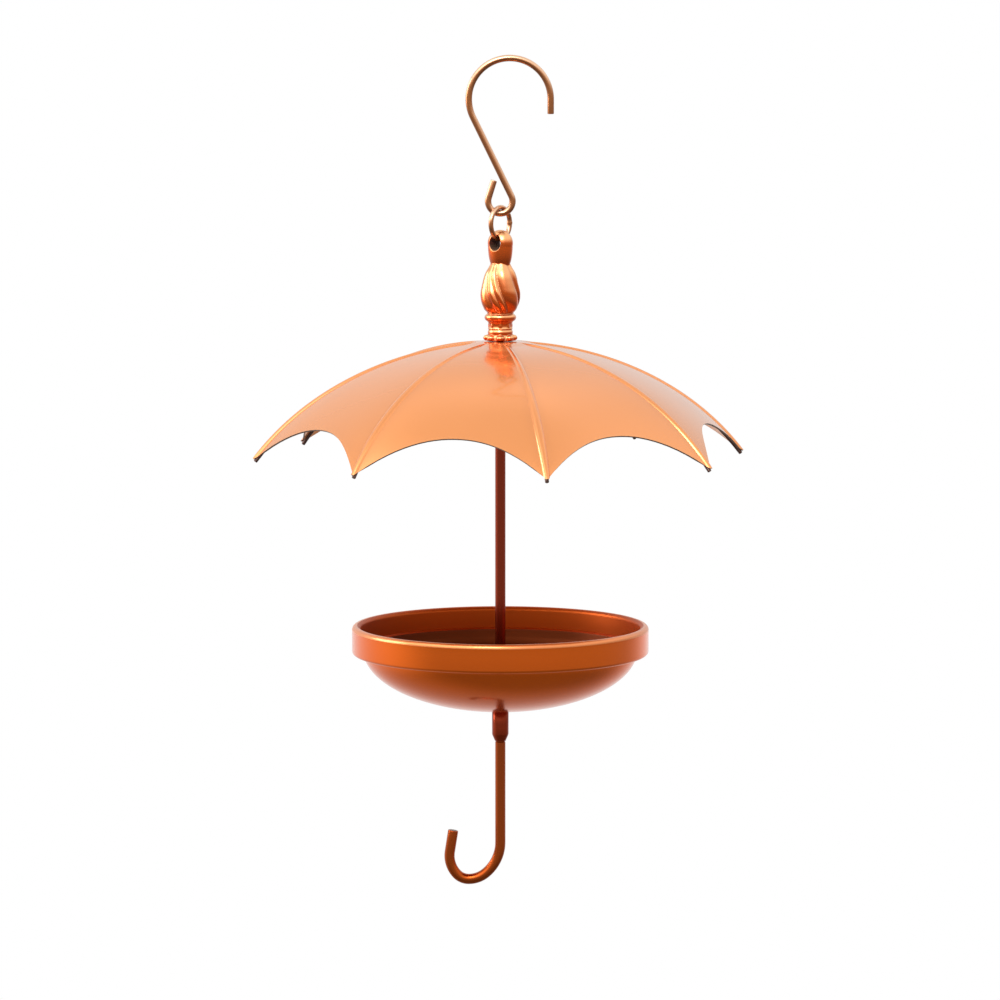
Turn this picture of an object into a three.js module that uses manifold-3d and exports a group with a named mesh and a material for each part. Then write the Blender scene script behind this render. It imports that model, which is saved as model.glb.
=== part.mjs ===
// Hanging platform bird feeder shaped like an open umbrella: an S hook, a round ring, a cast finial
// with an eye, a scalloped sheet canopy on eight rib wires, a straight rod, a feed dish and a J hook.
// Units are millimetres and +Z is up. The origin is the hang point, the place inside the bend of the
// S hook that lies straight above the rod, and the rod's axis is the Z axis.

import * as THREE from "three";
import { mergeVertices } from "three/addons/utils/BufferGeometryUtils.js";
import Module from "manifold-3d";

const wasm = await Module();
wasm.setup();

const fullTurn = 2 * Math.PI;
const halfTurn = Math.PI;
const quarterTurn = Math.PI / 2;
const degree = Math.PI / 180;

// Clearances
const seatGap = 0.3;
const threadGap = 0.3;
const wireGap = 0.35;
const cutOverrun = 1;

// S hook, bent from round wire
const hookWireDiameter = 4;
const hookHeight = 93.4;
const hookBendRadius = 24.8;
const hookBendOffset = 5.8;
const hookTipLength = 9;
const hookLoopRadius = 7.4;
const hookLoopEndLean = 17 * degree;
const hookLoopEndLength = 11;

// Hanging ring
const ringWireDiameter = 3;
const ringInnerDiameter = 16.4;
const ringTurn = 36 * degree;

// Finial, cast in one piece with its eye
const eyeDiameter = 16.4;
const eyeThickness = 13.4;
const eyeHoleHeight = 8.4;
const eyeHoleWidth = 6;
const eyeFlareRadius = 7.4;
const shoulderDiameter = 14.6;
const neckDiameter = 11;
const neckDrop = 12.5;
const bulbDiameter = 24.4;
const bulbLength = 30.1;
const bulbTwist = 55 * degree;
const lobeDepth = 1.7;
const leafCount = 3;
const leafStart = -22 * degree;
const collarDiameter = 19.4;
const collarLength = 5;
const waistDiameter = 14.4;
const waistLength = 5.4;
const beadDiameter = 16.2;
const beadLength = 2.6;
const footDiameter = 20.8;
const footLength = 3.7;
const petalCount = 8;
const petalDepth = 0.7;
const finialBoreDepth = 13;

// Threaded ends of the rod and the J hook
const studDiameter = 4.8;
const studEndGap = 1.5;

// Canopy, pressed from one sheet with a raised ridge over each rib
const ribCount = 8;
const firstRibAngle = 10.35 * degree;
const canopySheet = 1;
const canopyTipRadius = 152.3;
const canopyScallopDepth = 23.1;
const canopyCurveReach = 27.7;
const canopyCurveDepth = 148.4;
const canopyFlatRadius = 12;
const panelSag = 3;
const ridgeTopHeight = 0.7;
const ridgeHemHeight = 1.5;
const ridgeTopWidth = 2.4;
const ridgeHemWidth = 6;
const ridgeTipWidth = 3.8;

// Rib wires, welded under the ridges
const ribWireDiameter = 2.4;
const ribStartRadius = 18;
const ribTipLength = 0.8;

// Washers and hexagon nuts
const canopyWasherDiameter = 24;
const dishWasherDiameter = 18;
const washerThickness = 1.2;
const nutWidth = 8;
const nutHeight = 4;
const nutChamfer = 0.5;

// Rod
const rodDiameter = 6.35;
const rodLength = 211;

// Dish, pressed from one sheet with a flat floor, a ledge and a rim that is rolled over and down
const dishSheet = 1;
const dishDiameter = 181.8;
const dishHeight = 51.1;
const dishFloorRadius = 20;
const bowlRadius = 84.2;
const bowlDepth = 37;
const rimWidth = 5.2;
const rimHeight = 17.6;
const rimFlangeGap = 0.7;
const rimFlangeCorner = 1.6;
const ledgeHeight = 1.6;

// Coupling sleeve
const sleeveDiameter = 10.2;
const sleeveLength = 20.5;
const sleeveTaperLength = 4;
const sleeveTipDiameter = 7;

// J hook
const jHookDrop = 89.2;
const jShankBendWidth = 19.5;
const jShankBendHeight = 23;
const jTipBendWidth = 11.8;
const jTipBendHeight = 14.6;
const jTipLean = 9 * degree;
const jTipLength = 16;

// Facets
const hookSides = 10;
const hookSteps = 60;
const ringSides = 10;
const ringSegments = 28;
const rodSides = 16;
const jHookSides = 12;
const jHookSteps = 28;
const ribSides = 6;
const ribSteps = 10;
const dishSegments = 46;
const sleeveSegments = 24;
const washerSegments = 18;
const boreSegments = 12;
const eyeSegments = 20;

// Finishes
const paint = (hex, roughness, metalness) => new THREE.MeshStandardMaterial({ color: hex, roughness, metalness });
const hookPaint = paint(0xa2683f, 0.35, 0.6);
const castPaint = paint(0xd9743a, 0.3, 0.5);
const canopyPaint = paint(0xf9a368, 0.25, 0.4);
const rodPaint = paint(0x7a2a0e, 0.3, 0.5);
const dishPaint = paint(0xb74a08, 0.28, 0.5);
const ribPaint = paint(0x4a2c22, 0.4, 0.6);
const zinc = paint(0xb9a08c, 0.4, 0.9);

// Heights down the hanging axis, each worked out from the piece above it
const hookWireRadius = hookWireDiameter / 2;
const hookInnerRadius = hookBendRadius - hookWireRadius;
const hookBendZ = -Math.sqrt(hookInnerRadius ** 2 - hookBendOffset ** 2);
const hookLoopZ = -hookHeight + hookWireRadius + hookLoopRadius;
const ringInnerRadius = ringInnerDiameter / 2;
const ringWireRadius = ringWireDiameter / 2;
const ringZ = -hookHeight + hookWireDiameter + seatGap - ringInnerRadius;
const eyeHoleRadius = eyeHoleHeight / 2;
const eyeZ = ringZ - ringInnerRadius + seatGap - eyeHoleRadius;
const neckZ = eyeZ - neckDrop;
const bulbBottomZ = neckZ - bulbLength;
const collarBottomZ = bulbBottomZ - collarLength;
const waistBottomZ = collarBottomZ - waistLength;
const beadBottomZ = waistBottomZ - beadLength;
const footZ = beadBottomZ - footLength;
const canopyTopZ = footZ - seatGap;
const canopyWasherZ = canopyTopZ - canopySheet - seatGap - washerThickness;
const canopyNutZ = canopyWasherZ - seatGap - nutHeight;
const rodTopZ = canopyNutZ - seatGap;
const rodBottomZ = rodTopZ - rodLength;
const dishNutZ = rodBottomZ - seatGap - nutHeight;
const dishWasherZ = dishNutZ - seatGap - washerThickness;
const dishFloorZ = dishWasherZ - seatGap;
const dishBottomZ = dishFloorZ - dishSheet;
const sleeveTopZ = dishBottomZ - seatGap;
const sleeveBottomZ = sleeveTopZ - sleeveLength;
const jHookTopZ = sleeveBottomZ - seatGap;
const jHookBottomZ = jHookTopZ - jHookDrop;
const studRadius = studDiameter / 2;
const boreRadius = studRadius + threadGap;
const rodRadius = rodDiameter / 2;

// Solids and meshes: a closed geometry becomes a solid for cutting, and a solid a geometry again

function toSolid(geometry) {
  const bare = geometry.clone();
  bare.deleteAttribute("normal");
  bare.deleteAttribute("uv");
  const merged = mergeVertices(bare);
  const vertProperties = Float32Array.from(merged.attributes.position.array);
  const triVerts = Uint32Array.from(merged.index.array);
  return new wasm.Manifold(new wasm.Mesh({ numProp: 3, vertProperties, triVerts }));
}

function toGeometry(solid) {
  const mesh = solid.getMesh();
  const geometry = new THREE.BufferGeometry();
  geometry.setAttribute("position", new THREE.BufferAttribute(mesh.vertProperties, 3));
  geometry.setIndex(new THREE.BufferAttribute(mesh.triVerts, 1));
  geometry.computeVertexNormals();
  return geometry;
}

// A profile of [radius, height] points turned round the Z axis, its points listed counterclockwise
function revolve(profile, segments) {
  const points = profile.map(([r, z]) => new THREE.Vector2(r, z));
  const lathe = new THREE.LatheGeometry(points, segments);
  lathe.rotateX(quarterTurn);
  return lathe;
}

// A round bar along a curve, with flat ends
function bar(curve, radius, sides, steps) {
  const section = new THREE.Shape();
  section.absarc(0, 0, radius, 0, fullTurn);
  return new THREE.ExtrudeGeometry(section, { extrudePath: curve, steps, curveSegments: sides / 2 });
}

// Points on an arc of an ellipse in the XZ plane, angles counted from +X towards +Z
function arcPoints(x, z, width, height, from, to, count) {
  const points = [];
  for (let i = 0; i <= count; i += 1) {
    const angle = from + ((to - from) * i) / count;
    points.push(new THREE.Vector3(x + width * Math.cos(angle), 0, z + height * Math.sin(angle)));
  }
  return points;
}

// A smooth curve through points on arcs and straight runs
const smoothCurve = (points) => new THREE.CatmullRomCurve3(points, false, "centripetal");

// A straight run from a point along a direction, without its first point
function runPoints(start, direction, length, count) {
  const points = [];
  for (let i = 1; i <= count; i += 1) {
    points.push(start.clone().addScaledVector(direction, (length * i) / count));
  }
  return points;
}

// S hook: a straight tip, the large bend, a slanting shank, the small loop and its end
function makeHook() {
  const across = hookBendOffset;
  const down = hookBendZ - hookLoopZ;
  const reach = Math.hypot(across, down);
  const cross = Math.asin((hookBendRadius + hookLoopRadius) / reach);
  const slant = cross - Math.atan2(across, down);
  const bend = arcPoints(
    hookBendOffset, hookBendZ, hookBendRadius, hookBendRadius, 0, halfTurn + slant, 22,
  );
  const loopStart = slant;
  const loopEnd = -halfTurn - hookLoopEndLean;
  const loop = arcPoints(0, hookLoopZ, hookLoopRadius, hookLoopRadius, loopStart, loopEnd, 16);
  const downWay = new THREE.Vector3(0, 0, -1);
  const tip = runPoints(bend[0], downWay, hookTipLength, 3).reverse();
  const shankStart = bend[bend.length - 1];
  const shank = loop[0].clone().sub(shankStart);
  const shankRun = runPoints(shankStart, shank.clone().normalize(), shank.length(), 6).slice(0, -1);
  const endWay = new THREE.Vector3(Math.sin(hookLoopEndLean), 0, Math.cos(hookLoopEndLean));
  const end = runPoints(loop[loop.length - 1], endWay, hookLoopEndLength, 4);
  const curve = smoothCurve([...tip, ...bend, ...shankRun, ...loop, ...end]);
  return bar(curve, hookWireRadius, hookSides, hookSteps);
}

// Hanging ring, in a plane that holds the Z axis and is turned about it
function makeRing() {
  const ring = new THREE.TorusGeometry(
    ringInnerRadius + ringWireRadius, ringWireRadius, ringSides, ringSegments,
  );
  ring.rotateX(quarterTurn);
  ring.rotateZ(quarterTurn - ringTurn);
  return ring;
}

// A closed skin over rows of points: pointAt gives the point of a row and a column
function skin(rowCount, columnCount, pointAt, capAt) {
  const positions = [];
  for (let row = 0; row < rowCount; row += 1) {
    for (let column = 0; column < columnCount; column += 1) positions.push(...pointAt(row, column));
  }
  const bottom = positions.length / 3;
  positions.push(...capAt(0), ...capAt(rowCount - 1));
  const faces = [];
  for (let column = 0; column < columnCount; column += 1) {
    const next = (column + 1) % columnCount;
    faces.push(bottom, next, column);
    const last = (rowCount - 1) * columnCount;
    faces.push(bottom + 1, last + column, last + next);
    for (let row = 0; row < rowCount - 1; row += 1) {
      const here = row * columnCount;
      const above = here + columnCount;
      faces.push(here + column, here + next, above + next, here + column, above + next, above + column);
    }
  }
  const geometry = new THREE.BufferGeometry();
  geometry.setAttribute("position", new THREE.Float32BufferAttribute(positions, 3));
  geometry.setIndex(faces);
  geometry.computeVertexNormals();
  return geometry;
}

// Share of the bulb's length below the neck and share of its radius
const bulbShares = [
  [0.07, 0.59], [0.15, 0.71], [0.25, 0.81], [0.36, 0.88], [0.47, 0.94], [0.57, 0.99],
  [0.66, 1], [0.75, 0.985], [0.83, 0.94], [0.91, 0.85],
];

// Shares of one leaf's turn taken by its wide lobe and its two narrow ones, and facets across each
const lobeWidthShares = [0.62, 0.23, 0.15];
const lobeFacets = [6, 3, 3];

// Angle of each column round the bulb and how far it lies in a groove, from 0 on a crest to 1
function lobeColumns() {
  const columns = [];
  const leafTurn = fullTurn / leafCount;
  for (let leaf = 0; leaf < leafCount; leaf += 1) {
    let start = leafStart + leaf * leafTurn;
    lobeWidthShares.forEach((share, lobe) => {
      for (let i = 0; i < lobeFacets[lobe]; i += 1) {
        const along = i / lobeFacets[lobe];
        const groove = 1 - Math.sin(halfTurn * along) ** 0.8;
        columns.push({ angle: start + leafTurn * share * along, groove: groove * (0.45 + share) });
      }
      start += leafTurn * share;
    });
  }
  return columns;
}

// The finial's turned and lobed body as rows of height, radius, groove depth, twist and petal depth
function finialRows() {
  const rows = [
    { z: footZ, r: footDiameter / 2, petal: 1 },
    { z: footZ + footLength * 0.45, r: footDiameter / 2, petal: 1 },
    { z: footZ + footLength * 0.85, r: footDiameter * 0.44, petal: 0.6 },
    { z: beadBottomZ + beadLength * 0.3, r: beadDiameter / 2 },
    { z: beadBottomZ + beadLength * 0.75, r: beadDiameter / 2 },
    { z: waistBottomZ + waistLength * 0.12, r: waistDiameter / 2 },
    { z: waistBottomZ + waistLength * 0.5, r: waistDiameter * 0.48 },
    { z: collarBottomZ - waistLength * 0.04, r: waistDiameter * 0.54 },
    { z: collarBottomZ + collarLength * 0.22, r: collarDiameter * 0.47 },
    { z: collarBottomZ + collarLength * 0.5, r: collarDiameter / 2 },
    { z: collarBottomZ + collarLength * 0.78, r: collarDiameter * 0.47 },
    { z: bulbBottomZ, r: collarDiameter * 0.39 },
  ];
  [...bulbShares].reverse().forEach(([drop, share]) => {
    const fade = Math.min(1, drop / 0.1, (1 - drop) / 0.06);
    rows.push({ z: neckZ - bulbLength * drop, r: (bulbDiameter / 2) * share, lobe: fade, drop });
  });
  rows.push({ z: neckZ, r: neckDiameter / 2 });
  rows.push({ z: neckZ + neckDrop * 0.09, r: shoulderDiameter * 0.405 });
  rows.push({ z: neckZ + neckDrop * 0.3, r: shoulderDiameter * 0.455 });
  rows.push({ z: neckZ + neckDrop * 0.64, r: shoulderDiameter / 2 });
  rows.push({ z: neckZ + neckDrop * 0.82, r: shoulderDiameter * 0.455 });
  return rows;
}

// Finial: the body, the eye ball with its flared hole, and the threaded bore in the foot
function makeFinial() {
  const rows = finialRows();
  const columns = lobeColumns();
  const pointAt = (row, column) => {
    const { z, r, lobe = 0, petal = 0, drop = 0 } = rows[row];
    const { angle, groove } = columns[column];
    const turned = angle + bulbTwist * drop ** 1.6;
    const petals = petal * petalDepth * (0.5 - 0.5 * Math.cos(petalCount * angle));
    const radius = r - lobeDepth * lobe * groove - petals;
    return [radius * Math.sin(turned), -radius * Math.cos(turned), z];
  };
  const capAt = (row) => [0, 0, rows[row].z];
  let solid = toSolid(skin(rows.length, columns.length, pointAt, capAt));

  const ball = new THREE.SphereGeometry(1, eyeSegments, eyeSegments / 2);
  ball.scale(eyeDiameter / 2, eyeThickness / 2, eyeDiameter / 2);
  ball.rotateZ(-ringTurn);
  ball.translate(0, 0, eyeZ);
  solid = solid.add(toSolid(ball));

  const hole = [];
  const flareSteps = 8;
  const half = eyeDiameter / 2 + cutOverrun;
  for (let i = 0; i <= flareSteps; i += 1) {
    const along = half * ((2 * i) / flareSteps - 1);
    hole.push([eyeHoleRadius + along ** 2 / (2 * eyeFlareRadius), along]);
  }
  const tool = revolve([[0, -half], ...hole, [0, half]], eyeSegments);
  tool.scale(eyeHoleWidth / eyeHoleHeight, 1, 1);
  tool.rotateX(quarterTurn);
  tool.rotateZ(-ringTurn);
  tool.translate(0, 0, eyeZ);
  solid = solid.subtract(toSolid(tool));

  const bore = revolve([
    [0, footZ - cutOverrun], [boreRadius, footZ - cutOverrun],
    [boreRadius, footZ + finialBoreDepth], [0, footZ + finialBoreDepth],
  ], boreSegments);
  return toGeometry(solid.subtract(toSolid(bore)));
}

// Canopy: height of the rib line at a radius, on an ellipse that reaches past the tips
function ribHeight(r) {
  const halfWidth = canopyTipRadius + canopyCurveReach;
  const fall = (radius) => canopyCurveDepth * (1 - Math.sqrt(1 - (radius / halfWidth) ** 2));
  return canopyTopZ - Math.max(0, fall(r) - fall(canopyFlatRadius));
}

// Angle by which the rib line falls away at a radius
function ribSlope(r) {
  return Math.atan((ribHeight(r) - ribHeight(r + ridgeHemHeight)) / ridgeHemHeight);
}

// Radius of the hem at a place across a panel, from -1 on one rib to 1 on the next
const hemPower = 2.1;
const hemRadius = (across) => canopyTipRadius - canopyScallopDepth * (1 - Math.abs(across) ** hemPower);

// Shares of the way from the hole to the hem, one row each
const canopyRowShares = [0, 0.065, 0.12, 0.2, 0.32, 0.45, 0.58, 0.7, 0.81, 0.91, 1];

// Half width of a ridge at a share of the way to the hem
function ridgeHalfWidth(share) {
  const widestShare = 0.86;
  if (share < widestShare) {
    return (ridgeTopWidth + (ridgeHemWidth - ridgeTopWidth) * (share / widestShare)) / 2;
  }
  const pastShare = (share - widestShare) / (1 - widestShare);
  return (ridgeHemWidth + (ridgeTipWidth - ridgeHemWidth) * pastShare) / 2;
}

// Columns across one panel and one ridge: part of the ridge, or part of the panel
const ridgeShares = [-0.5, 0, 0.5];
const panelShares = [-1, -0.8, -0.45, 0, 0.45, 0.8, 1];
const ridgeRiseShares = [0.8, 1, 0.8];

// Point on the upper face of the canopy
function canopyPoint(rib, share, kind, index) {
  const halfPanel = halfTurn / ribCount;
  const ribAngle = firstRibAngle + rib * 2 * halfPanel;
  const guess = boreRadius + (canopyTipRadius - boreRadius) * share;
  const ridgeAngle = Math.min(ridgeHalfWidth(share) / guess, halfPanel * 0.5);
  let angle = ribAngle + ridgeAngle * (ridgeShares[index] ?? 0);
  let across = 1;
  let sag = 0;
  let rise = ridgeRiseShares[index];
  if (kind === "panel") {
    const place = panelShares[index];
    angle = ribAngle + halfPanel + (halfPanel - ridgeAngle) * place;
    across = (angle - ribAngle - halfPanel) / halfPanel;
    sag = 1 - place ** 2;
    rise = 0;
  }
  const r = boreRadius + (hemRadius(across) - boreRadius) * share;
  const fadeIn = THREE.MathUtils.smoothstep(r, canopyFlatRadius, canopyFlatRadius * 2);
  const ridgeHeight = ridgeTopHeight + (ridgeHemHeight - ridgeTopHeight) * share;
  const lift = -fadeIn * (ridgeHeight * (1 - rise) + panelSag * sag * share ** 2);
  const steep = ribSlope(r);
  const reach = r + lift * Math.sin(steep);
  const z = ribHeight(r) + lift * Math.cos(steep);
  return new THREE.Vector3(reach * Math.sin(angle), -reach * Math.cos(angle), z);
}

// Canopy: the upper face as a grid, and the lower face one sheet thickness under it
function makeCanopy() {
  const kinds = [];
  for (let rib = 0; rib < ribCount; rib += 1) {
    ridgeShares.forEach((_, index) => kinds.push([rib, "ridge", index]));
    panelShares.forEach((_, index) => kinds.push([rib, "panel", index]));
  }
  const columnCount = kinds.length;
  const rowCount = canopyRowShares.length;
  const upper = canopyRowShares.map((share) => (
    kinds.map(([rib, kind, index]) => canopyPoint(rib, share, kind, index))
  ));
  const lower = upper.map((row, i) => row.map((point, j) => {
    const outward = upper[Math.min(i + 1, rowCount - 1)][j].clone().sub(upper[Math.max(i - 1, 0)][j]);
    const sideways = upper[i][(j + 1) % columnCount].clone().sub(upper[i][(j + columnCount - 1) % columnCount]);
    const normal = outward.cross(sideways).normalize();
    return point.clone().addScaledVector(normal, -canopySheet);
  }));
  const positions = [];
  [...upper.flat(), ...lower.flat()].forEach((point) => positions.push(point.x, point.y, point.z));
  const count = columnCount * rowCount;
  const faces = [];
  const quad = (a, b, c, d) => faces.push(a, b, c, a, c, d);
  for (let j = 0; j < columnCount; j += 1) {
    const next = (j + 1) % columnCount;
    for (let i = 0; i < rowCount - 1; i += 1) {
      const here = i * columnCount;
      const out = here + columnCount;
      quad(here + j, out + j, out + next, here + next);
      quad(count + here + j, count + here + next, count + out + next, count + out + j);
    }
    const hem = (rowCount - 1) * columnCount;
    quad(hem + j, count + hem + j, count + hem + next, hem + next);
    quad(j, next, count + next, count + j);
  }
  const geometry = new THREE.BufferGeometry();
  geometry.setAttribute("position", new THREE.Float32BufferAttribute(positions, 3));
  geometry.setIndex(faces);
  geometry.computeVertexNormals();
  return geometry;
}

// Rib wire: follows the underside of its ridge from beside the washer to just past the tip
function makeRibWire(rib) {
  const angle = firstRibAngle + (rib * fullTurn) / ribCount;
  const depth = canopySheet + wireGap + ribWireDiameter / 2;
  const points = [];
  for (let i = 0; i <= ribSteps; i += 1) {
    const r = ribStartRadius + ((canopyTipRadius - ribStartRadius) * i) / ribSteps;
    const steep = ribSlope(r);
    points.push(new THREE.Vector2(r - depth * Math.sin(steep), ribHeight(r) - depth * Math.cos(steep)));
  }
  const way = points[ribSteps].clone().sub(points[ribSteps - 1]).normalize();
  points.push(points[ribSteps].clone().addScaledVector(way, ribTipLength));
  const line = points.map(({ x, y }) => new THREE.Vector3(x * Math.sin(angle), -x * Math.cos(angle), y));
  return bar(smoothCurve(line), ribWireDiameter / 2, ribSides, ribSteps + 2);
}

// Washer: a flat ring with a clear hole for the stud
function makeWasher(diameter, z) {
  return revolve([
    [boreRadius, z], [diameter / 2, z], [diameter / 2, z + washerThickness],
    [boreRadius, z + washerThickness], [boreRadius, z],
  ], washerSegments);
}

// Hexagon nut with chamfered corners
function makeNut(z) {
  const circle = nutWidth / 2 / Math.cos(halfTurn / 6);
  const hexagon = revolve([[0, z], [circle, z], [circle, z + nutHeight], [0, z + nutHeight]], 6);
  const faceRadius = nutWidth / 2 + nutChamfer / 2;
  const barrel = revolve([
    [0, z], [faceRadius - nutChamfer / 2, z], [circle + nutChamfer, z + nutChamfer],
    [circle + nutChamfer, z + nutHeight - nutChamfer], [faceRadius - nutChamfer / 2, z + nutHeight],
    [0, z + nutHeight],
  ], washerSegments);
  const bore = revolve([
    [0, z - cutOverrun], [boreRadius, z - cutOverrun],
    [boreRadius, z + nutHeight + cutOverrun], [0, z + nutHeight + cutOverrun],
  ], boreSegments);
  return toGeometry(toSolid(hexagon).intersect(toSolid(barrel)).subtract(toSolid(bore)));
}

// Rod: full diameter between its shoulders, with a turned-down stud at each end
function makeRod() {
  const studTop = footZ + finialBoreDepth - studEndGap;
  const studBottom = sleeveTopZ - sleeveLength / 2 + studEndGap;
  return revolve([
    [0, studBottom], [studRadius, studBottom], [studRadius, rodBottomZ], [rodRadius, rodBottomZ],
    [rodRadius, rodTopZ], [studRadius, rodTopZ], [studRadius, studTop], [0, studTop],
  ], rodSides);
}

// Outline of a sheet from the line along its middle: one side out and the other back
function sheetOutline(middle, thickness) {
  const side = (sign) => middle.map(([r, z], i) => {
    const [beforeR, beforeZ] = middle[Math.max(i - 1, 0)];
    const [afterR, afterZ] = middle[Math.min(i + 1, middle.length - 1)];
    const firstWay = new THREE.Vector2(r - beforeR, z - beforeZ).normalize();
    const lastWay = new THREE.Vector2(afterR - r, afterZ - z).normalize();
    const way = firstWay.clone().add(lastWay).normalize();
    const bend = Math.max(way.dot(i === 0 ? lastWay : firstWay), 0.5);
    const offset = (sign * thickness) / 2 / bend;
    return [r + way.y * offset, z - way.x * offset];
  });
  const outline = [...side(1), ...side(-1).reverse()];
  return [...outline, outline[0]];
}

// Dish: floor, bowl, ledge, wall, rolled rim and the flange under it, all of one sheet
function makeDish() {
  const half = dishSheet / 2;
  const floorZ = dishBottomZ + half;
  const rimTopZ = dishBottomZ + dishHeight;
  const rollRadius = (rimWidth - dishSheet) / 2;
  const skirtR = dishDiameter / 2 - half;
  const wallR = skirtR - 2 * rollRadius;
  const rollZ = rimTopZ - half - rollRadius;
  const rimBottomZ = rimTopZ - rimHeight + half;
  const bowlR = bowlRadius - half;
  const floorDrop = bowlDepth * (1 - Math.sqrt(1 - (dishFloorRadius / bowlR) ** 2));
  const middle = [[boreRadius + threadGap, floorZ]];
  const bowlSteps = 7;
  const startAngle = Math.asin(dishFloorRadius / bowlR);
  const endAngle = 84 * degree;
  for (let i = 0; i <= bowlSteps; i += 1) {
    const angle = startAngle + ((endAngle - startAngle) * i) / bowlSteps;
    middle.push([bowlR * Math.sin(angle), floorZ - floorDrop + bowlDepth * (1 - Math.cos(angle))]);
  }
  const [, bowlTopZ] = middle[middle.length - 1];
  middle.push([wallR, bowlTopZ + ledgeHeight]);
  const rollSteps = 5;
  for (let i = 0; i <= rollSteps; i += 1) {
    const angle = halfTurn - (halfTurn * i) / rollSteps;
    middle.push([
      skirtR - rollRadius + rollRadius * Math.cos(angle), rollZ + rollRadius * Math.sin(angle),
    ]);
  }
  middle.push([skirtR, rimBottomZ + rimFlangeCorner]);
  middle.push([skirtR - rimFlangeCorner * 0.3, rimBottomZ + rimFlangeCorner * 0.3]);
  middle.push([skirtR - rimFlangeCorner, rimBottomZ]);
  middle.push([bowlR + dishSheet + rimFlangeGap, rimBottomZ]);
  return revolve(sheetOutline(middle, dishSheet), dishSegments);
}

// Coupling sleeve: a tube with a tapered lower end, threaded for the rod above and the hook below
function makeSleeve() {
  const taperZ = sleeveBottomZ + sleeveTaperLength;
  return revolve([
    [boreRadius, sleeveBottomZ], [sleeveTipDiameter / 2, sleeveBottomZ], [sleeveDiameter / 2, taperZ],
    [sleeveDiameter / 2, sleeveTopZ], [boreRadius, sleeveTopZ], [boreRadius, sleeveBottomZ],
  ], sleeveSegments);
}

// J hook: a shank with a stud at its top, a wide bend, a tighter bend and a short tip
function makeJHook() {
  const lowZ = jHookBottomZ + rodRadius;
  const shankEndZ = lowZ + jShankBendHeight;
  const shank = runPoints(
    new THREE.Vector3(0, 0, jHookTopZ), new THREE.Vector3(0, 0, -1), jHookTopZ - shankEndZ, 5,
  );
  const first = arcPoints(
    -jShankBendWidth, shankEndZ, jShankBendWidth, jShankBendHeight, 0, -quarterTurn, 9,
  ).slice(1);
  const second = arcPoints(
    -jShankBendWidth, lowZ + jTipBendHeight, jTipBendWidth, jTipBendHeight,
    -quarterTurn, -halfTurn, 7,
  ).slice(1);
  const tipWay = new THREE.Vector3(Math.sin(jTipLean), 0, Math.cos(jTipLean));
  const tip = runPoints(second[second.length - 1], tipWay, jTipLength, 3);
  const top = new THREE.Vector3(0, 0, jHookTopZ);
  const curve = smoothCurve([top, ...shank, ...first, ...second, ...tip]);
  const rod = toSolid(bar(curve, rodRadius, jHookSides, jHookSteps));
  const studTop = sleeveBottomZ + sleeveLength / 2 - studEndGap;
  const stud = revolve([
    [0, jHookTopZ - rodRadius], [studRadius, jHookTopZ - rodRadius], [studRadius, studTop], [0, studTop],
  ], jHookSides);
  return toGeometry(rod.add(toSolid(stud)));
}

// One named mesh for each piece
function piece(name, geometry, material) {
  const mesh = new THREE.Mesh(geometry, material);
  mesh.name = name;
  return mesh;
}

const feeder = new THREE.Group();
feeder.name = "bird_feeder";
feeder.add(piece("s_hook", makeHook(), hookPaint));
const ring = piece("hanging_ring", makeRing(), hookPaint);
ring.position.z = ringZ;
feeder.add(ring);
feeder.add(piece("finial", makeFinial(), castPaint));
feeder.add(piece("canopy", makeCanopy(), canopyPaint));
for (let rib = 0; rib < ribCount; rib += 1) {
  feeder.add(piece(`rib_wire_${rib + 1}`, makeRibWire(rib), ribPaint));
}
feeder.add(piece("canopy_washer", makeWasher(canopyWasherDiameter, canopyWasherZ), zinc));
feeder.add(piece("canopy_nut", makeNut(canopyNutZ), zinc));
feeder.add(piece("center_rod", makeRod(), rodPaint));
feeder.add(piece("dish_nut", makeNut(dishNutZ), zinc));
feeder.add(piece("dish_washer", makeWasher(dishWasherDiameter, dishWasherZ), zinc));
feeder.add(piece("dish", makeDish(), dishPaint));
feeder.add(piece("coupling_sleeve", makeSleeve(), rodPaint));
feeder.add(piece("j_hook", makeJHook(), rodPaint));

export default feeder;
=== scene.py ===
"""Finished looks for a hanging bird feeder shaped like an open umbrella.

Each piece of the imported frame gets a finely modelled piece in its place, in metres, +Z up.
"""

import math

import bmesh
import bpy
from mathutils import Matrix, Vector


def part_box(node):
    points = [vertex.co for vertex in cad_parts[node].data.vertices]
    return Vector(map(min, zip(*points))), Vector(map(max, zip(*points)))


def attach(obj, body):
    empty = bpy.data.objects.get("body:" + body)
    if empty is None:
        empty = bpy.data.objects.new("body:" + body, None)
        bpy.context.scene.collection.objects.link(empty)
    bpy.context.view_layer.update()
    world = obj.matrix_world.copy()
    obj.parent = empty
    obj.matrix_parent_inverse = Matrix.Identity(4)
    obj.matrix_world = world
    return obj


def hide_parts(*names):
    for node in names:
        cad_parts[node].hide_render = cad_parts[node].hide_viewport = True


bl_info = {
    "name": "Umbrella Bird Feeder",
    "version": (1, 0, 0),
    "blender": (4, 5, 0),
    "location": "View3D > Sidebar > Feeder",
    "description": "Models a hanging umbrella-shaped bird feeder in a plain studio",
    "category": "Add Mesh",
}

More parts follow.
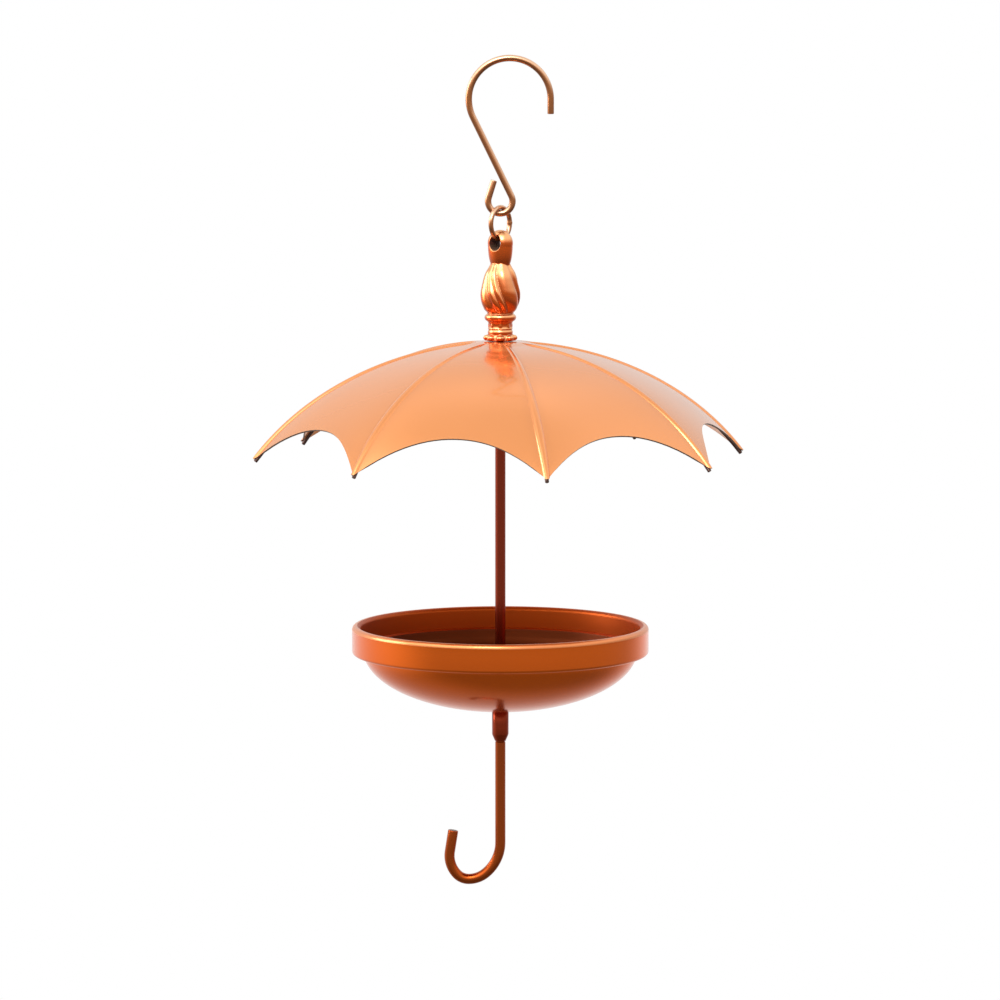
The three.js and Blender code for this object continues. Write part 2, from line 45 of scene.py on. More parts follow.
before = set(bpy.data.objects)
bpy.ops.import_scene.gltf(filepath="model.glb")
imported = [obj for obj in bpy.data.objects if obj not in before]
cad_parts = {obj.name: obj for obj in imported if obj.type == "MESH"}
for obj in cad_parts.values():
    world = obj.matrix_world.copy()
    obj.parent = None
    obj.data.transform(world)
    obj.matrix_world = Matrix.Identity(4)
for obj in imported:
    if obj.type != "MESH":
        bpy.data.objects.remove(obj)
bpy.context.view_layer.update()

MM = 0.001
FULL_TURN = 2 * math.pi
HALF_TURN = math.pi
QUARTER_TURN = math.pi / 2
WHITE = (1, 1, 1, 1)
BLACK = (0, 0, 0, 1)

# Turn of the ring and of the eye about the vertical, and radius of the eye's ball
RING_TURN = math.radians(36)
EYE_RADIUS = 8.2 * MM
# Radius of the threaded bores, gap between two pieces that touch, and radius of the studs
BORE = 2.7 * MM
GAP = 0.3 * MM
STUD = 2.4 * MM


# Places read from the frame


def low(node):
    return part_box(node)[0]


def high(node):
    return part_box(node)[1]


def widest_radius(node):
    return max(math.hypot(v.co.x, v.co.y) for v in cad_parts[node].data.vertices)


# Settings that a user would change


def length(name, default, description, least=0.0):
    return bpy.props.FloatProperty(
        name=name, description=description, default=default, min=least, unit="LENGTH", precision=5,
    )


def colour(name, default, description):
    return bpy.props.FloatVectorProperty(
        name=name, description=description, default=default, min=0, max=1, subtype="COLOR",
    )


def number(name, default, description, **limits):
    return bpy.props.FloatProperty(name=name, description=description, default=default, **limits)


class FeederSizes(bpy.types.PropertyGroup):
    hook_wire: length("Hook Wire", 4 * MM, "Diameter of the S hook's wire", 1 * MM)
    hook_bend: length(
        "Hook Bend", 24.8 * MM, "Radius of the S hook's upper bend, to the wire's middle", 5 * MM,
    )
    hook_loop: length(
        "Hook Loop", 7.4 * MM, "Radius of the S hook's lower loop, to the wire's middle", 3 * MM,
    )
    ring_wire: length("Ring Wire", 3 * MM, "Diameter of the hanging ring's wire", 1 * MM)
    lobe_depth: length("Leaf Depth", 1.9 * MM, "Depth of the grooves between the finial's leaves")
    casting_grain: length(
        "Casting Fineness", 0.3 * MM, "Size of the mesh that joins the finial's forms", 0.2 * MM,
    )
    canopy_sheet: length("Canopy Sheet", 1 * MM, "Thickness of the canopy's sheet", 0.3 * MM)
    ridge_top_height: length(
        "Ridge Top Height", 0.7 * MM, "Height of the pressed ridges over the panels at the finial",
    )
    ridge_hem_height: length(
        "Ridge Hem Height", 1.5 * MM, "Height of the pressed ridges over the panels at the hem",
    )
    panel_sag: length("Panel Sag", 3 * MM, "How far a panel sinks between two ribs at the hem")
    dish_sheet: length("Dish Sheet", 1 * MM, "Thickness of the dish's sheet", 0.3 * MM)
    rod: length(
        "Rod", high("center_rod").x - low("center_rod").x, "Diameter of the rod and the J hook",
        2 * MM,
    )


class FeederFinishes(bpy.types.PropertyGroup):
    hook_colour: colour("Hook Colour", (0.50, 0.165, 0.042), "Coating of the S hook and the ring")
    cast_colour: colour("Finial Colour", (0.82, 0.12, 0.005), "Coating of the cast finial")
    # The two paled colours are painted highlights, laid on faces turned up
    hook_painted_highlight_colour: colour(
        "Hook Painted Highlight", (0.86, 0.52, 0.32), "Coating of the hook and the ring facing up",
    )
    cast_painted_highlight_colour: colour(
        "Finial Painted Highlight", (0.98, 0.47, 0.20), "Coating of the finial where it faces up",
    )
    canopy_colour: colour("Canopy Colour", (0.98, 0.36, 0.105), "Coating of the canopy")
    rod_colour: colour("Rod Colour", (0.30, 0.030, 0.003), "Coating of the rod and the sleeve")
    crook_colour: colour("J Hook Colour", (0.40, 0.066, 0.005), "Coating of the J hook")
    dish_colour: colour("Dish Colour", (0.90, 0.145, 0.002), "Coating of the dish")
    # The lining's darker colour is painted shade inside the dish, and the floor is a still darker
    # painted shade of it
    lining_painted_shade_colour: colour(
        "Dish Lining", (0.56, 0.085, 0.002), "Coating inside the dish, with less of a metal look",
    )
    # The lip's paler colour is a painted highlight along the top of the rolled rim
    lip_painted_highlight_colour: colour(
        "Dish Lip", (0.94, 0.30, 0.09), "Coating of the rolled rim, where it is thinner and paler",
    )
    # The ribs' dark colour is painted shade under the canopy
    rib_painted_shade_colour: colour("Rib Painted Shade", (0.12, 0.06, 0.045), "Dark coating of the rib wires")
    edge_colour: colour(
        "Cut Edge Colour", (0.24, 0.15, 0.11), "Cut edges of the sheet and cut ends of the wire",
    )
    zinc_colour: colour("Zinc Colour", (0.62, 0.58, 0.52), "Plated washers and nuts")
    gloss: number(
        "Gloss Roughness", 0.22, "Roughness of the coating, lower is glossier",
        min=0.02, max=1, subtype="FACTOR",
    )


class FeederStudio(bpy.types.PropertyGroup):
    camera_place: bpy.props.FloatVectorProperty(
        name="Camera", description="Where the camera stands",
        default=(-0.0002, -2.809, 0.0354), unit="LENGTH", subtype="TRANSLATION",
    )
    camera_tilt: number(
        "Camera Tilt", math.radians(6.13), "How far the camera looks down", subtype="ANGLE",
    )
    focal_length: number(
        "Focal Length", 166.4, "Lens of the camera in millimetres, on a 36 mm sensor", min=10,
    )
    floor_drop: length("Floor Drop", 0.6, "How far the floor lies under the J hook", 0.05)
    key_power: number("Overhead Light", 12, "Power of the soft overhead light in watts", min=0)
    front_power: number("Front Light", 7, "Power of the light above the camera in watts", min=0)
    side_power: number("Side Light", 14, "Power of the soft light on the left in watts", min=0)
    ambient: number("Ambient", 0.45, "Strength of the room's even light", min=0, max=2)


# Modelling helpers


def clear_selection():
    if bpy.context.mode != "OBJECT":
        bpy.ops.object.mode_set(mode="OBJECT")
    bpy.ops.object.select_all(action="DESELECT")


def rename(piece, name):
    piece.name = name
    piece.data.name = name
    return piece


def settle(piece, **placing):
    """Sets a piece's location, rotation or scale and moves it into the mesh."""
    for key, value in placing.items():
        setattr(piece, key, value)
    bpy.ops.object.transform_apply()


def take_new(name):
    """Names the primitive just added and moves its place into its mesh."""
    piece = rename(bpy.context.object, name)
    settle(piece)
    return piece


def pick(piece):
    clear_selection()
    piece.select_set(True)
    bpy.context.view_layer.objects.active = piece


def start_ring(name, sides, radius, centre, turn=(0, 0, 0)):
    """Adds an open ring and leaves it selected in edit mode."""
    clear_selection()
    bpy.ops.mesh.primitive_circle_add(
        vertices=sides, radius=radius, fill_type="NOTHING", location=centre, rotation=turn,
    )
    piece = take_new(name)
    bpy.ops.object.mode_set(mode="EDIT")
    bpy.ops.mesh.select_all(action="SELECT")
    return piece


def finish_shell(closed=True):
    """Merges doubles, fills open ends or keeps them, faces outwards and leaves edit mode."""
    bpy.ops.mesh.select_all(action="SELECT")
    bpy.ops.mesh.remove_doubles(threshold=0.005 * MM)
    if closed:
        bpy.ops.mesh.fill_holes(sides=0)
    bpy.ops.mesh.normals_make_consistent(inside=False)
    bpy.ops.object.mode_set(mode="OBJECT")


def select_where(piece, test):
    """Selects, in edit mode, the vertices whose places pass a test."""
    bpy.ops.mesh.select_all(action="DESELECT")
    shape = bmesh.from_edit_mesh(piece.data)
    for vert in shape.verts:
        vert.select = test(vert.co)
    shape.select_flush_mode()
    bmesh.update_edit_mesh(piece.data)


def raise_ring(step, factor, height):
    """Extrudes the selected ring along Z and scales it about the axis."""
    bpy.ops.mesh.extrude_region_move(TRANSFORM_OT_translate={"value": (0, 0, step)})
    bpy.ops.transform.resize(value=(factor, factor, 1), center_override=(0, 0, height))


def turned(name, rows, sides, closed=True):
    """A piece turned round the Z axis: one ring raised through rows of (radius, height)."""
    radius, height = rows[0]
    piece = start_ring(name, sides, radius, (0, 0, height))
    for next_radius, next_height in rows[1:]:
        raise_ring(next_height - height, next_radius / radius, next_height)
        radius, height = next_radius, next_height
    finish_shell(closed)
    return piece


def arc_rows(radius, height, across, up, start, end, steps):
    """Rows on an arc of an ellipse, angles counted from outwards towards up."""
    rows = []
    for i in range(steps + 1):
        angle = start + (end - start) * i / steps
        rows.append((radius + across * math.cos(angle), height + up * math.sin(angle)))
    return rows


def modify(piece, kind, **values):
    """Adds a modifier with these values and applies it."""
    pick(piece)
    modifier = piece.modifiers.new(kind.title(), kind)
    for key, value in values.items():
        setattr(modifier, key, value)
    bpy.ops.object.modifier_apply(modifier=modifier.name)


def cut(piece, tool, operation="DIFFERENCE"):
    """Cuts or joins a piece with a closed tool, which is then removed."""
    modify(piece, "BOOLEAN", object=tool, operation=operation, solver="MANIFOLD")
    bpy.data.objects.remove(tool)


def join(pieces, name):
    pick(pieces[0])
    for other in pieces[1:]:
        other.select_set(True)
    bpy.ops.object.join()
    return rename(bpy.context.object, name)


def copy_turned(piece, name, angle):
    """A copy with its own mesh, turned about the Z axis."""
    pick(piece)
    bpy.ops.object.duplicate()
    twin = rename(bpy.context.object, name)
    settle(twin, rotation_euler=(0, 0, angle))
    return twin


def smooth(piece, angle=35):
    pick(piece)
    bpy.ops.object.shade_smooth_by_angle(angle=math.radians(angle))


def dress(piece, material, end_material=None):
    """Gives a piece its material, and its flat cut ends another."""
    piece.data.materials.clear()
    piece.data.materials.append(material_named(material))
    if end_material is None:
        return
    piece.data.materials.append(material_named(end_material))
    for face in piece.data.polygons:
        face.material_index = 1 if len(face.vertices) > 4 else 0


def place(piece, body, nodes):
    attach(piece, body)
    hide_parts(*nodes)


def finish(piece, node_name, material, angle=35, body="feeder", ends=None):
    """Smooths and dresses a piece and puts it in the place of a frame node."""
    smooth(piece, angle)
    dress(piece, material, ends)
    place(piece, body, [node_name])


class BentWire:
    """A round wire drawn through the XZ plane, its ring extruded and spun as in a bender."""

    edge_steps = 4

    def __init__(self, name, sides, radius, x, z, heading):
        self.place = Vector((x, 0, z))
        self.heading = heading
        self.facing = heading
        self.radius = radius
        self.piece = start_ring(name, sides, radius, self.place, (0, QUARTER_TURN - heading, 0))

    def pull(self, length):
        step = Vector((math.cos(self.heading), 0, math.sin(self.heading))) * length
        bpy.ops.mesh.extrude_region_move(TRANSFORM_OT_translate={"value": step})
        self.place += step

    def widen(self, radius):
        factor = radius / self.radius
        bpy.ops.transform.resize(value=(factor, factor, factor), center_override=self.place)
        self.radius = radius

    def face(self, heading):
        """Turns the ring square to a heading."""
        turn = heading - self.facing
        bpy.ops.transform.rotate(value=turn, orient_axis="Y", center_override=self.place)
        self.facing = heading

    def bend(self, radius, angle, steps):
        """Spins the ring about a centre, to the left for an angle above zero."""
        side = math.copysign(radius, angle)
        centre = self.place + Vector((-math.sin(self.heading), 0, math.cos(self.heading))) * side
        bpy.ops.mesh.spin(steps=steps, angle=angle, center=centre, axis=(0, 1, 0))
        arm = self.place - centre
        turned_x = arm.x * math.cos(angle) - arm.z * math.sin(angle)
        turned_z = arm.x * math.sin(angle) + arm.z * math.cos(angle)
        self.place = centre + Vector((turned_x, 0, turned_z))
        self.heading += angle
        self.facing = self.heading

    def round_edge(self, edge, full, opening=False):
        """Draws the wire over a rounded edge: out from its first ring, or in at its end."""
        angles = [QUARTER_TURN * i / self.edge_steps for i in range(self.edge_steps + 1)]
        if opening:
            angles.reverse()
        for before, after in zip(angles, angles[1:]):
            self.pull(edge * abs(math.sin(after) - math.sin(before)))
            self.widen(full - edge * (1 - math.cos(after)))


# Node helpers


def feed(tree, sockets, values):
    """Links those values that are sockets, and sets the others as they are."""
    for key, value in values.items():
        if isinstance(value, bpy.types.NodeSocket):
            tree.links.new(value, sockets[key])
        else:
            sockets[key].default_value = value


def add(tree, kind, inputs=None, **settings):
    """Adds a node and feeds its inputs."""
    made = tree.nodes.new("ShaderNode" + kind)
    for key, value in settings.items():
        setattr(made, key, value)
    feed(tree, made.inputs, inputs or {})
    return made.outputs


def calc(tree, operation, first, second):
    return add(tree, "Math", {0: first, 1: second}, operation=operation)[0]


def ramp(tree, value, start, end, least=0, most=1, shape="SMOOTHSTEP"):
    """A value carried from one range to another and held at its ends."""
    ranges = {"Value": value, "From Min": start, "From Max": end, "To Min": least, "To Max": most}
    return add(tree, "MapRange", ranges, interpolation_type=shape)["Result"]


def blend(tree, share, first, second, kind="RGBA"):
    return add(tree, "Mix", {"Factor": share, "A": first, "B": second}, data_type=kind)["Result"]


def mix_shaders(tree, share, first, second):
    return add(tree, "MixShader", {"Fac": share, 1: first, 2: second})["Shader"]


def noise(tree, scale, detail):
    at = add(tree, "TexCoord")["Object"]
    return add(tree, "TexNoise", {"Vector": at, "Scale": scale, "Detail": detail})["Fac"]


def orange_peel(tree, given, out):
    """The fine waves of a sprayed coating, as a normal."""
    dents = {"Height": noise(tree, 32, 1), "Distance": given["Dent Depth"]}
    waves = {"Height": noise(tree, given["Scale"], 2), "Distance": given["Depth"]}
    waves["Normal"] = add(tree, "Bump", dents)["Normal"]
    feed(tree, out, {"Normal": add(tree, "Bump", waves)["Normal"]})


def tone_drift_and_painted_light(tree, given, out):
    """A slow drift of tone, with painted shade in recesses and painted highlights on edges."""
    clouds = calc(tree, "SUBTRACT", noise(tree, given["Scale"], 4), 0.5)
    swing = calc(tree, "MULTIPLY", clouds, given["Drift"])
    toned = {0: given["Colour"], "Scale": calc(tree, "ADD", swing, 1)}
    toned = add(tree, "VectorMath", toned, operation="SCALE")["Vector"]
    bend = add(tree, "NewGeometry")["Pointiness"]
    # Painted shade in recesses, where the pointiness is low
    painted_recess_shade = ramp(tree, bend, 0.5, 0.42, shape="LINEAR")
    painted_recess_shade = calc(tree, "MULTIPLY", painted_recess_shade, given["Recess"])
    # Painted highlight on edges, where the pointiness is high
    painted_edge_highlight = ramp(tree, bend, 0.52, 0.62, shape="LINEAR")
    painted_edge_highlight = calc(tree, "MULTIPLY", painted_edge_highlight, given["Edge"])
    recess_shaded = blend(tree, painted_recess_shade, toned, given["Recess Colour"])
    edge_highlighted = blend(tree, painted_edge_highlight, recess_shaded, given["Edge Colour"])
    speck = calc(tree, "SUBTRACT", noise(tree, 900, 3), 0.5)
    rough = given["Roughness"]
    for source, share in ((speck, 0.03), (swing, 0.4), (painted_recess_shade, 0.25)):
        rough = calc(tree, "ADD", rough, calc(tree, "MULTIPLY", source, share))
    feed(tree, out, {"Colour": edge_highlighted, "Roughness": rough})


def painted_top_light(tree, given, out):
    """Painted highlight on faces turned up and painted shade on faces turned down."""
    facing = add(tree, "SeparateXYZ", {"Vector": add(tree, "TexCoord")["Normal"]})["Z"]
    lower = blend(tree, ramp(tree, facing, 0.04, -0.3), given["Colour"], given["Lower Colour"])
    upper = blend(tree, ramp(tree, facing, -0.02, 0.45), lower, given["Upper Colour"])
    feed(tree, out, {"Colour": upper})


def room_glow(tree, given, out):
    """Brightness of the room in a direction: white behind, bright above, dim in front, below."""
    way = add(tree, "SeparateXYZ", {"Vector": given["Direction"]})
    up, right = way["Z"], way["X"]
    low_front = ramp(tree, up, -0.7, -0.05, 0.22, 0.5)
    front = calc(tree, "ADD", low_front, ramp(tree, up, -0.08, 0.38, 0, 0.55))
    softbox = calc(tree, "MULTIPLY", ramp(tree, up, 0.12, 0.6, 0, 2.5), ramp(tree, up, 0.97, 0.82))
    softbox = calc(tree, "MULTIPLY", softbox, ramp(tree, right, 0.4, -0.05, 0.15, 1))
    front = calc(tree, "ADD", front, softbox)
    back = ramp(tree, up, -0.85, -0.02, 0.4, 1)
    side = calc(tree, "ADD", way["Y"], calc(tree, "MULTIPLY", right, -0.6))
    feed(tree, out, {"Glow": blend(tree, ramp(tree, side, -0.25, 0.8), front, back, "FLOAT")})


# Name of each node group: the function that wires it, its inputs and its outputs
GROUPS = {
    "Orange Peel": (
        orange_peel,
        (("Scale", "Float", 500), ("Depth", "Float", 0.00002), ("Dent Depth", "Float", 0.0001)),
        (("Normal", "Vector"),),
    ),
    "Tone Drift": (
        tone_drift_and_painted_light,
        (("Colour", "Color", WHITE), ("Recess Colour", "Color", BLACK),
         ("Edge Colour", "Color", WHITE), ("Drift", "Float", 0.1), ("Recess", "Float", 0.5),
         ("Edge", "Float", 0.3),
         ("Scale", "Float", 18), ("Roughness", "Float", 0.3)),
        (("Colour", "Color"), ("Roughness", "Float")),
    ),
    "Upward Fade": (
        painted_top_light,
        (("Colour", "Color", WHITE), ("Upper Colour", "Color", WHITE),
         ("Lower Colour", "Color", WHITE)),
        (("Colour", "Color"),),
    ),
    "Room Glow": (room_glow, (("Direction", "Vector", (0, 1, 0)),), (("Glow", "Float"),)),
}


def add_group(tree, name, inputs):
    """Adds a group node, and makes its node group when it is first needed."""
    if name not in bpy.data.node_groups:
        wire, takes, gives = GROUPS[name]
        group = bpy.data.node_groups.new(name, "ShaderNodeTree")
        for label, kind, default in takes:
            group.interface.new_socket(
                name=label, in_out="INPUT", socket_type=f"NodeSocket{kind}",
            ).default_value = default
        for label, kind in gives:
            group.interface.new_socket(name=label, in_out="OUTPUT", socket_type=f"NodeSocket{kind}")
        given = group.nodes.new("NodeGroupInput").outputs
        wire(group, given, group.nodes.new("NodeGroupOutput").inputs)
    return add(tree, "Group", inputs, node_tree=bpy.data.node_groups[name])


# Materials


def shaded(colour, factor, lift=0):
    """A colour made lighter or darker, as four numbers."""
    return (*(min(1, part * factor + lift) for part in colour), 1)


def coating(name, look, colour, gloss=0, dull=0, shade=1, metallic=0.85, coat=0.2,
            coat_roughness=0.08, peel=0.000004, dent=0.00004, drift=0.12, recess=0.5, edge=0.2,
            edge_lift=0.1, upper=None):
    """A sprayed copper coating on metal, with painted shade in recesses and painted highlights on
    edges, and with a painted highlight on faces turned up and painted shade on faces turned down if
    an upper colour is named.
    """
    material = bpy.data.materials.new(name)
    material.use_nodes = True
    tree = material.node_tree
    colour = shaded(colour, shade)[:3]
    base = shaded(colour, 1)
    if upper:
        painted_highlight, painted_shade = shaded(getattr(look, upper), 1), shaded(colour, 0.6)
        fade = {"Colour": base, "Upper Colour": painted_highlight, "Lower Colour": painted_shade}
        base = add_group(tree, "Upward Fade", fade)["Colour"]
    tone = add_group(tree, "Tone Drift", {
        "Colour": base, "Recess Colour": shaded(colour, 0.25),
        "Edge Colour": shaded(colour, 1.1, edge_lift), "Drift": drift, "Recess": recess,
        "Edge": edge, "Roughness": look.gloss * gloss + dull,
    })
    skin = add_group(tree, "Orange Peel", {"Depth": peel, "Dent Depth": dent})
    feed(tree, tree.nodes["Principled BSDF"].inputs, {
        "Metallic": metallic, "Specular IOR Level": 0.5, "Coat Weight": coat,
        "Coat Roughness": coat_roughness, "Coat IOR": 1.5, "Base Color": tone["Colour"],
        "Roughness": tone["Roughness"], "Normal": skin["Normal"],
    })
    return material


# Colour setting of each material, its roughness (gloss times the gloss setting, or dull as it is)
# and what else differs from the usual coating
COATINGS = {
    "Hook coating": ("hook_colour", {
        "gloss": 1.2, "coat": 0.6, "coat_roughness": 0.15, "peel": 0.000001, "dent": 0.00001,
        "upper": "hook_painted_highlight_colour",
    }),
    # The finial's strong recess share paints shade deep into its grooves
    "Finial coating": ("cast_colour", {
        "gloss": 1, "metallic": 0.93, "coat": 0.35, "coat_roughness": 0.16, "recess": 0.95,
        "upper": "cast_painted_highlight_colour",
    }),
    "Canopy coating": ("canopy_colour", {
        "gloss": 1, "metallic": 0.6, "coat": 0.7, "drift": 0.06, "recess": 0.35,
    }),
    "Rod coating": ("rod_colour", {"gloss": 1, "metallic": 0.92, "coat": 0.1}),
    "J hook coating": ("crook_colour", {"gloss": 1, "metallic": 0.92, "coat": 0.1}),
    # The dish's high edge share paints a highlight along its rolled rim
    "Dish coating": ("dish_colour", {
        "gloss": 0.8, "metallic": 0.92, "coat": 0.3, "edge": 0.9, "edge_lift": 0.16,
    }),
    # Lining and floor are painted shade inside the dish
    "Dish lining": ("lining_painted_shade_colour", {"dull": 0.42, "metallic": 0.75, "coat": 0, "dent": 0.00001}),
    "Dish floor": ("lining_painted_shade_colour", {"dull": 0.4, "shade": 0.22, "coat": 0, "dent": 0.00001}),
    # The lip is a painted highlight
    "Dish lip": ("lip_painted_highlight_colour", {"dull": 0.3, "metallic": 0.7, "coat": 0.3}),
    # Rib wires are dark as painted shade
    "Rib coating": ("rib_painted_shade_colour", {"dull": 0.4, "metallic": 0.8}),
    "Cut edge": ("edge_colour", {"dull": 0.45, "metallic": 0.7, "coat": 0.1, "edge": 0}),
    "Zinc plate": ("zinc_colour", {"dull": 0.35, "metallic": 1.0, "coat": 0.0, "drift": 0.2}),
}


def material_named(name):
    """A material of the table, made when it is first needed."""
    if name not in bpy.data.materials:
        look = bpy.context.scene.feeder_finishes
        setting, differences = COATINGS[name]
        material = coating(name, look, getattr(look, setting), **differences)
        if name == "Finial coating":
            paint_shade_in_eye_hole(material, look, differences)
    return bpy.data.materials[name]


def paint_shade_in_eye_hole(material, look, finial):
    """Paints shade on the wall of the finial's eye hole: dark and dull."""
    hole_start, hole_wall, painted_shade_depth = 4.6 * MM, 4 * MM, 0.93
    tree = material.node_tree
    shader = tree.nodes["Principled BSDF"].inputs
    tone = shader["Base Color"].links[0].from_node.outputs
    along_hole = add(tree, "Mapping", {
        "Location": (0, 0, high("finial").z - EYE_RADIUS), "Rotation": (0, 0, -RING_TURN),
        "Vector": add(tree, "TexCoord")["Object"],
    }, vector_type="TEXTURE")["Vector"]
    across = add(tree, "VectorMath", {0: along_hole, 1: (1, 0, 1)}, operation="MULTIPLY")["Vector"]
    distance = add(tree, "VectorMath", {0: across}, operation="LENGTH")["Value"]
    # The hole's wall is darkened and dulled as painted shade
    inside = ramp(tree, distance, hole_start, hole_wall, 0, painted_shade_depth, "LINEAR")
    outside = calc(tree, "SUBTRACT", 1, inside)
    feed(tree, shader, {
        "Coat Weight": calc(tree, "MULTIPLY", outside, finial["coat"]),
        "Metallic": calc(tree, "MULTIPLY", outside, finial["metallic"]),
        "Roughness": calc(tree, "MAXIMUM", tone["Roughness"], inside),
        "Base Color": blend(tree, inside, tone["Colour"], shaded(look.rib_painted_shade_colour, 0.3)),
    })


# Pieces


class FEEDER_OT_s_hook(bpy.types.Operator):
    """Bend the S hook from round wire: tip, large bend, slanting shank, small loop and its end"""

    bl_idname = "feeder.s_hook"
    bl_label = "S Hook"

    def execute(self, context):
        sizes = context.scene.feeder_sizes
        wire = sizes.hook_wire / 2
        bend = sizes.hook_bend
        loop = sizes.hook_loop
        bend_x = high("s_hook").x - wire - bend
        bend_z = high("s_hook").z - wire - bend
        loop_z = low("s_hook").z + wire + loop
        down = bend_z - loop_z
        reach = math.hypot(bend_x, down)
        slant = math.asin((bend + loop) / reach) - math.atan2(bend_x, down)
        shank = math.sqrt(reach ** 2 - (bend + loop) ** 2)
        tip = 9 * MM
        end_lean = math.radians(17)
        end = 11 * MM
        edge = 0.5 * MM
        hook = BentWire("s_hook_wire", 28, wire - edge, bend_x + bend, bend_z - tip, QUARTER_TURN)
        hook.round_edge(edge, wire, opening=True)
        hook.pull(tip - edge)
        hook.bend(bend, HALF_TURN + slant, 72)
        hook.pull(shank)
        hook.bend(loop, -(HALF_TURN + end_lean + slant), 56)
        hook.pull(end - edge)
        hook.round_edge(edge, wire)
        finish_shell()
        finish(hook.piece, "s_hook", "Hook coating", body="hook", ends="Cut edge")
        return {"FINISHED"}


class FEEDER_OT_hanging_ring(bpy.types.Operator):
    """Make the round hanging ring, with the swelling of its butt weld"""

    bl_idname = "feeder.hanging_ring"
    bl_label = "Hanging Ring"

    weld_reach = 1.1 * MM
    # Shares of the reach, and how far the wire swells within each
    swellings = ((1.0, 1.05), (0.55, 1.05), (0.25, 1.03))

    def execute(self, context):
        wire = context.scene.feeder_sizes.ring_wire / 2
        centre = (low("hanging_ring") + high("hanging_ring")) / 2
        major = (high("hanging_ring").z - low("hanging_ring").z) / 2 - wire
        clear_selection()
        bpy.ops.mesh.primitive_torus_add(
            major_segments=112, minor_segments=24, major_radius=major, minor_radius=wire,
            location=centre, rotation=(QUARTER_TURN, 0, QUARTER_TURN - RING_TURN),
        )
        ring = take_new("hanging_ring_wire")
        self.swell_weld(ring, centre, major)
        finish(ring, "hanging_ring", "Hook coating", 60, "ring")
        return {"FINISHED"}

    def swell_weld(self, ring, centre, major):
        """Swells the wire by a few hundredths at the weld, on the ring's right side."""
        along = Vector((math.sin(RING_TURN), math.cos(RING_TURN), 0))
        weld = centre + along * major
        bpy.ops.object.mode_set(mode="EDIT")
        for share, factor in self.swellings:
            reach = self.weld_reach * share

            def near_weld(co):
                return (co - weld).dot(along) > -major * 0.5 and abs(co.z - weld.z) < reach

            select_where(ring, near_weld)
            bpy.ops.transform.resize(value=(factor, factor, 1), center_override=weld)
        bpy.ops.object.mode_set(mode="OBJECT")


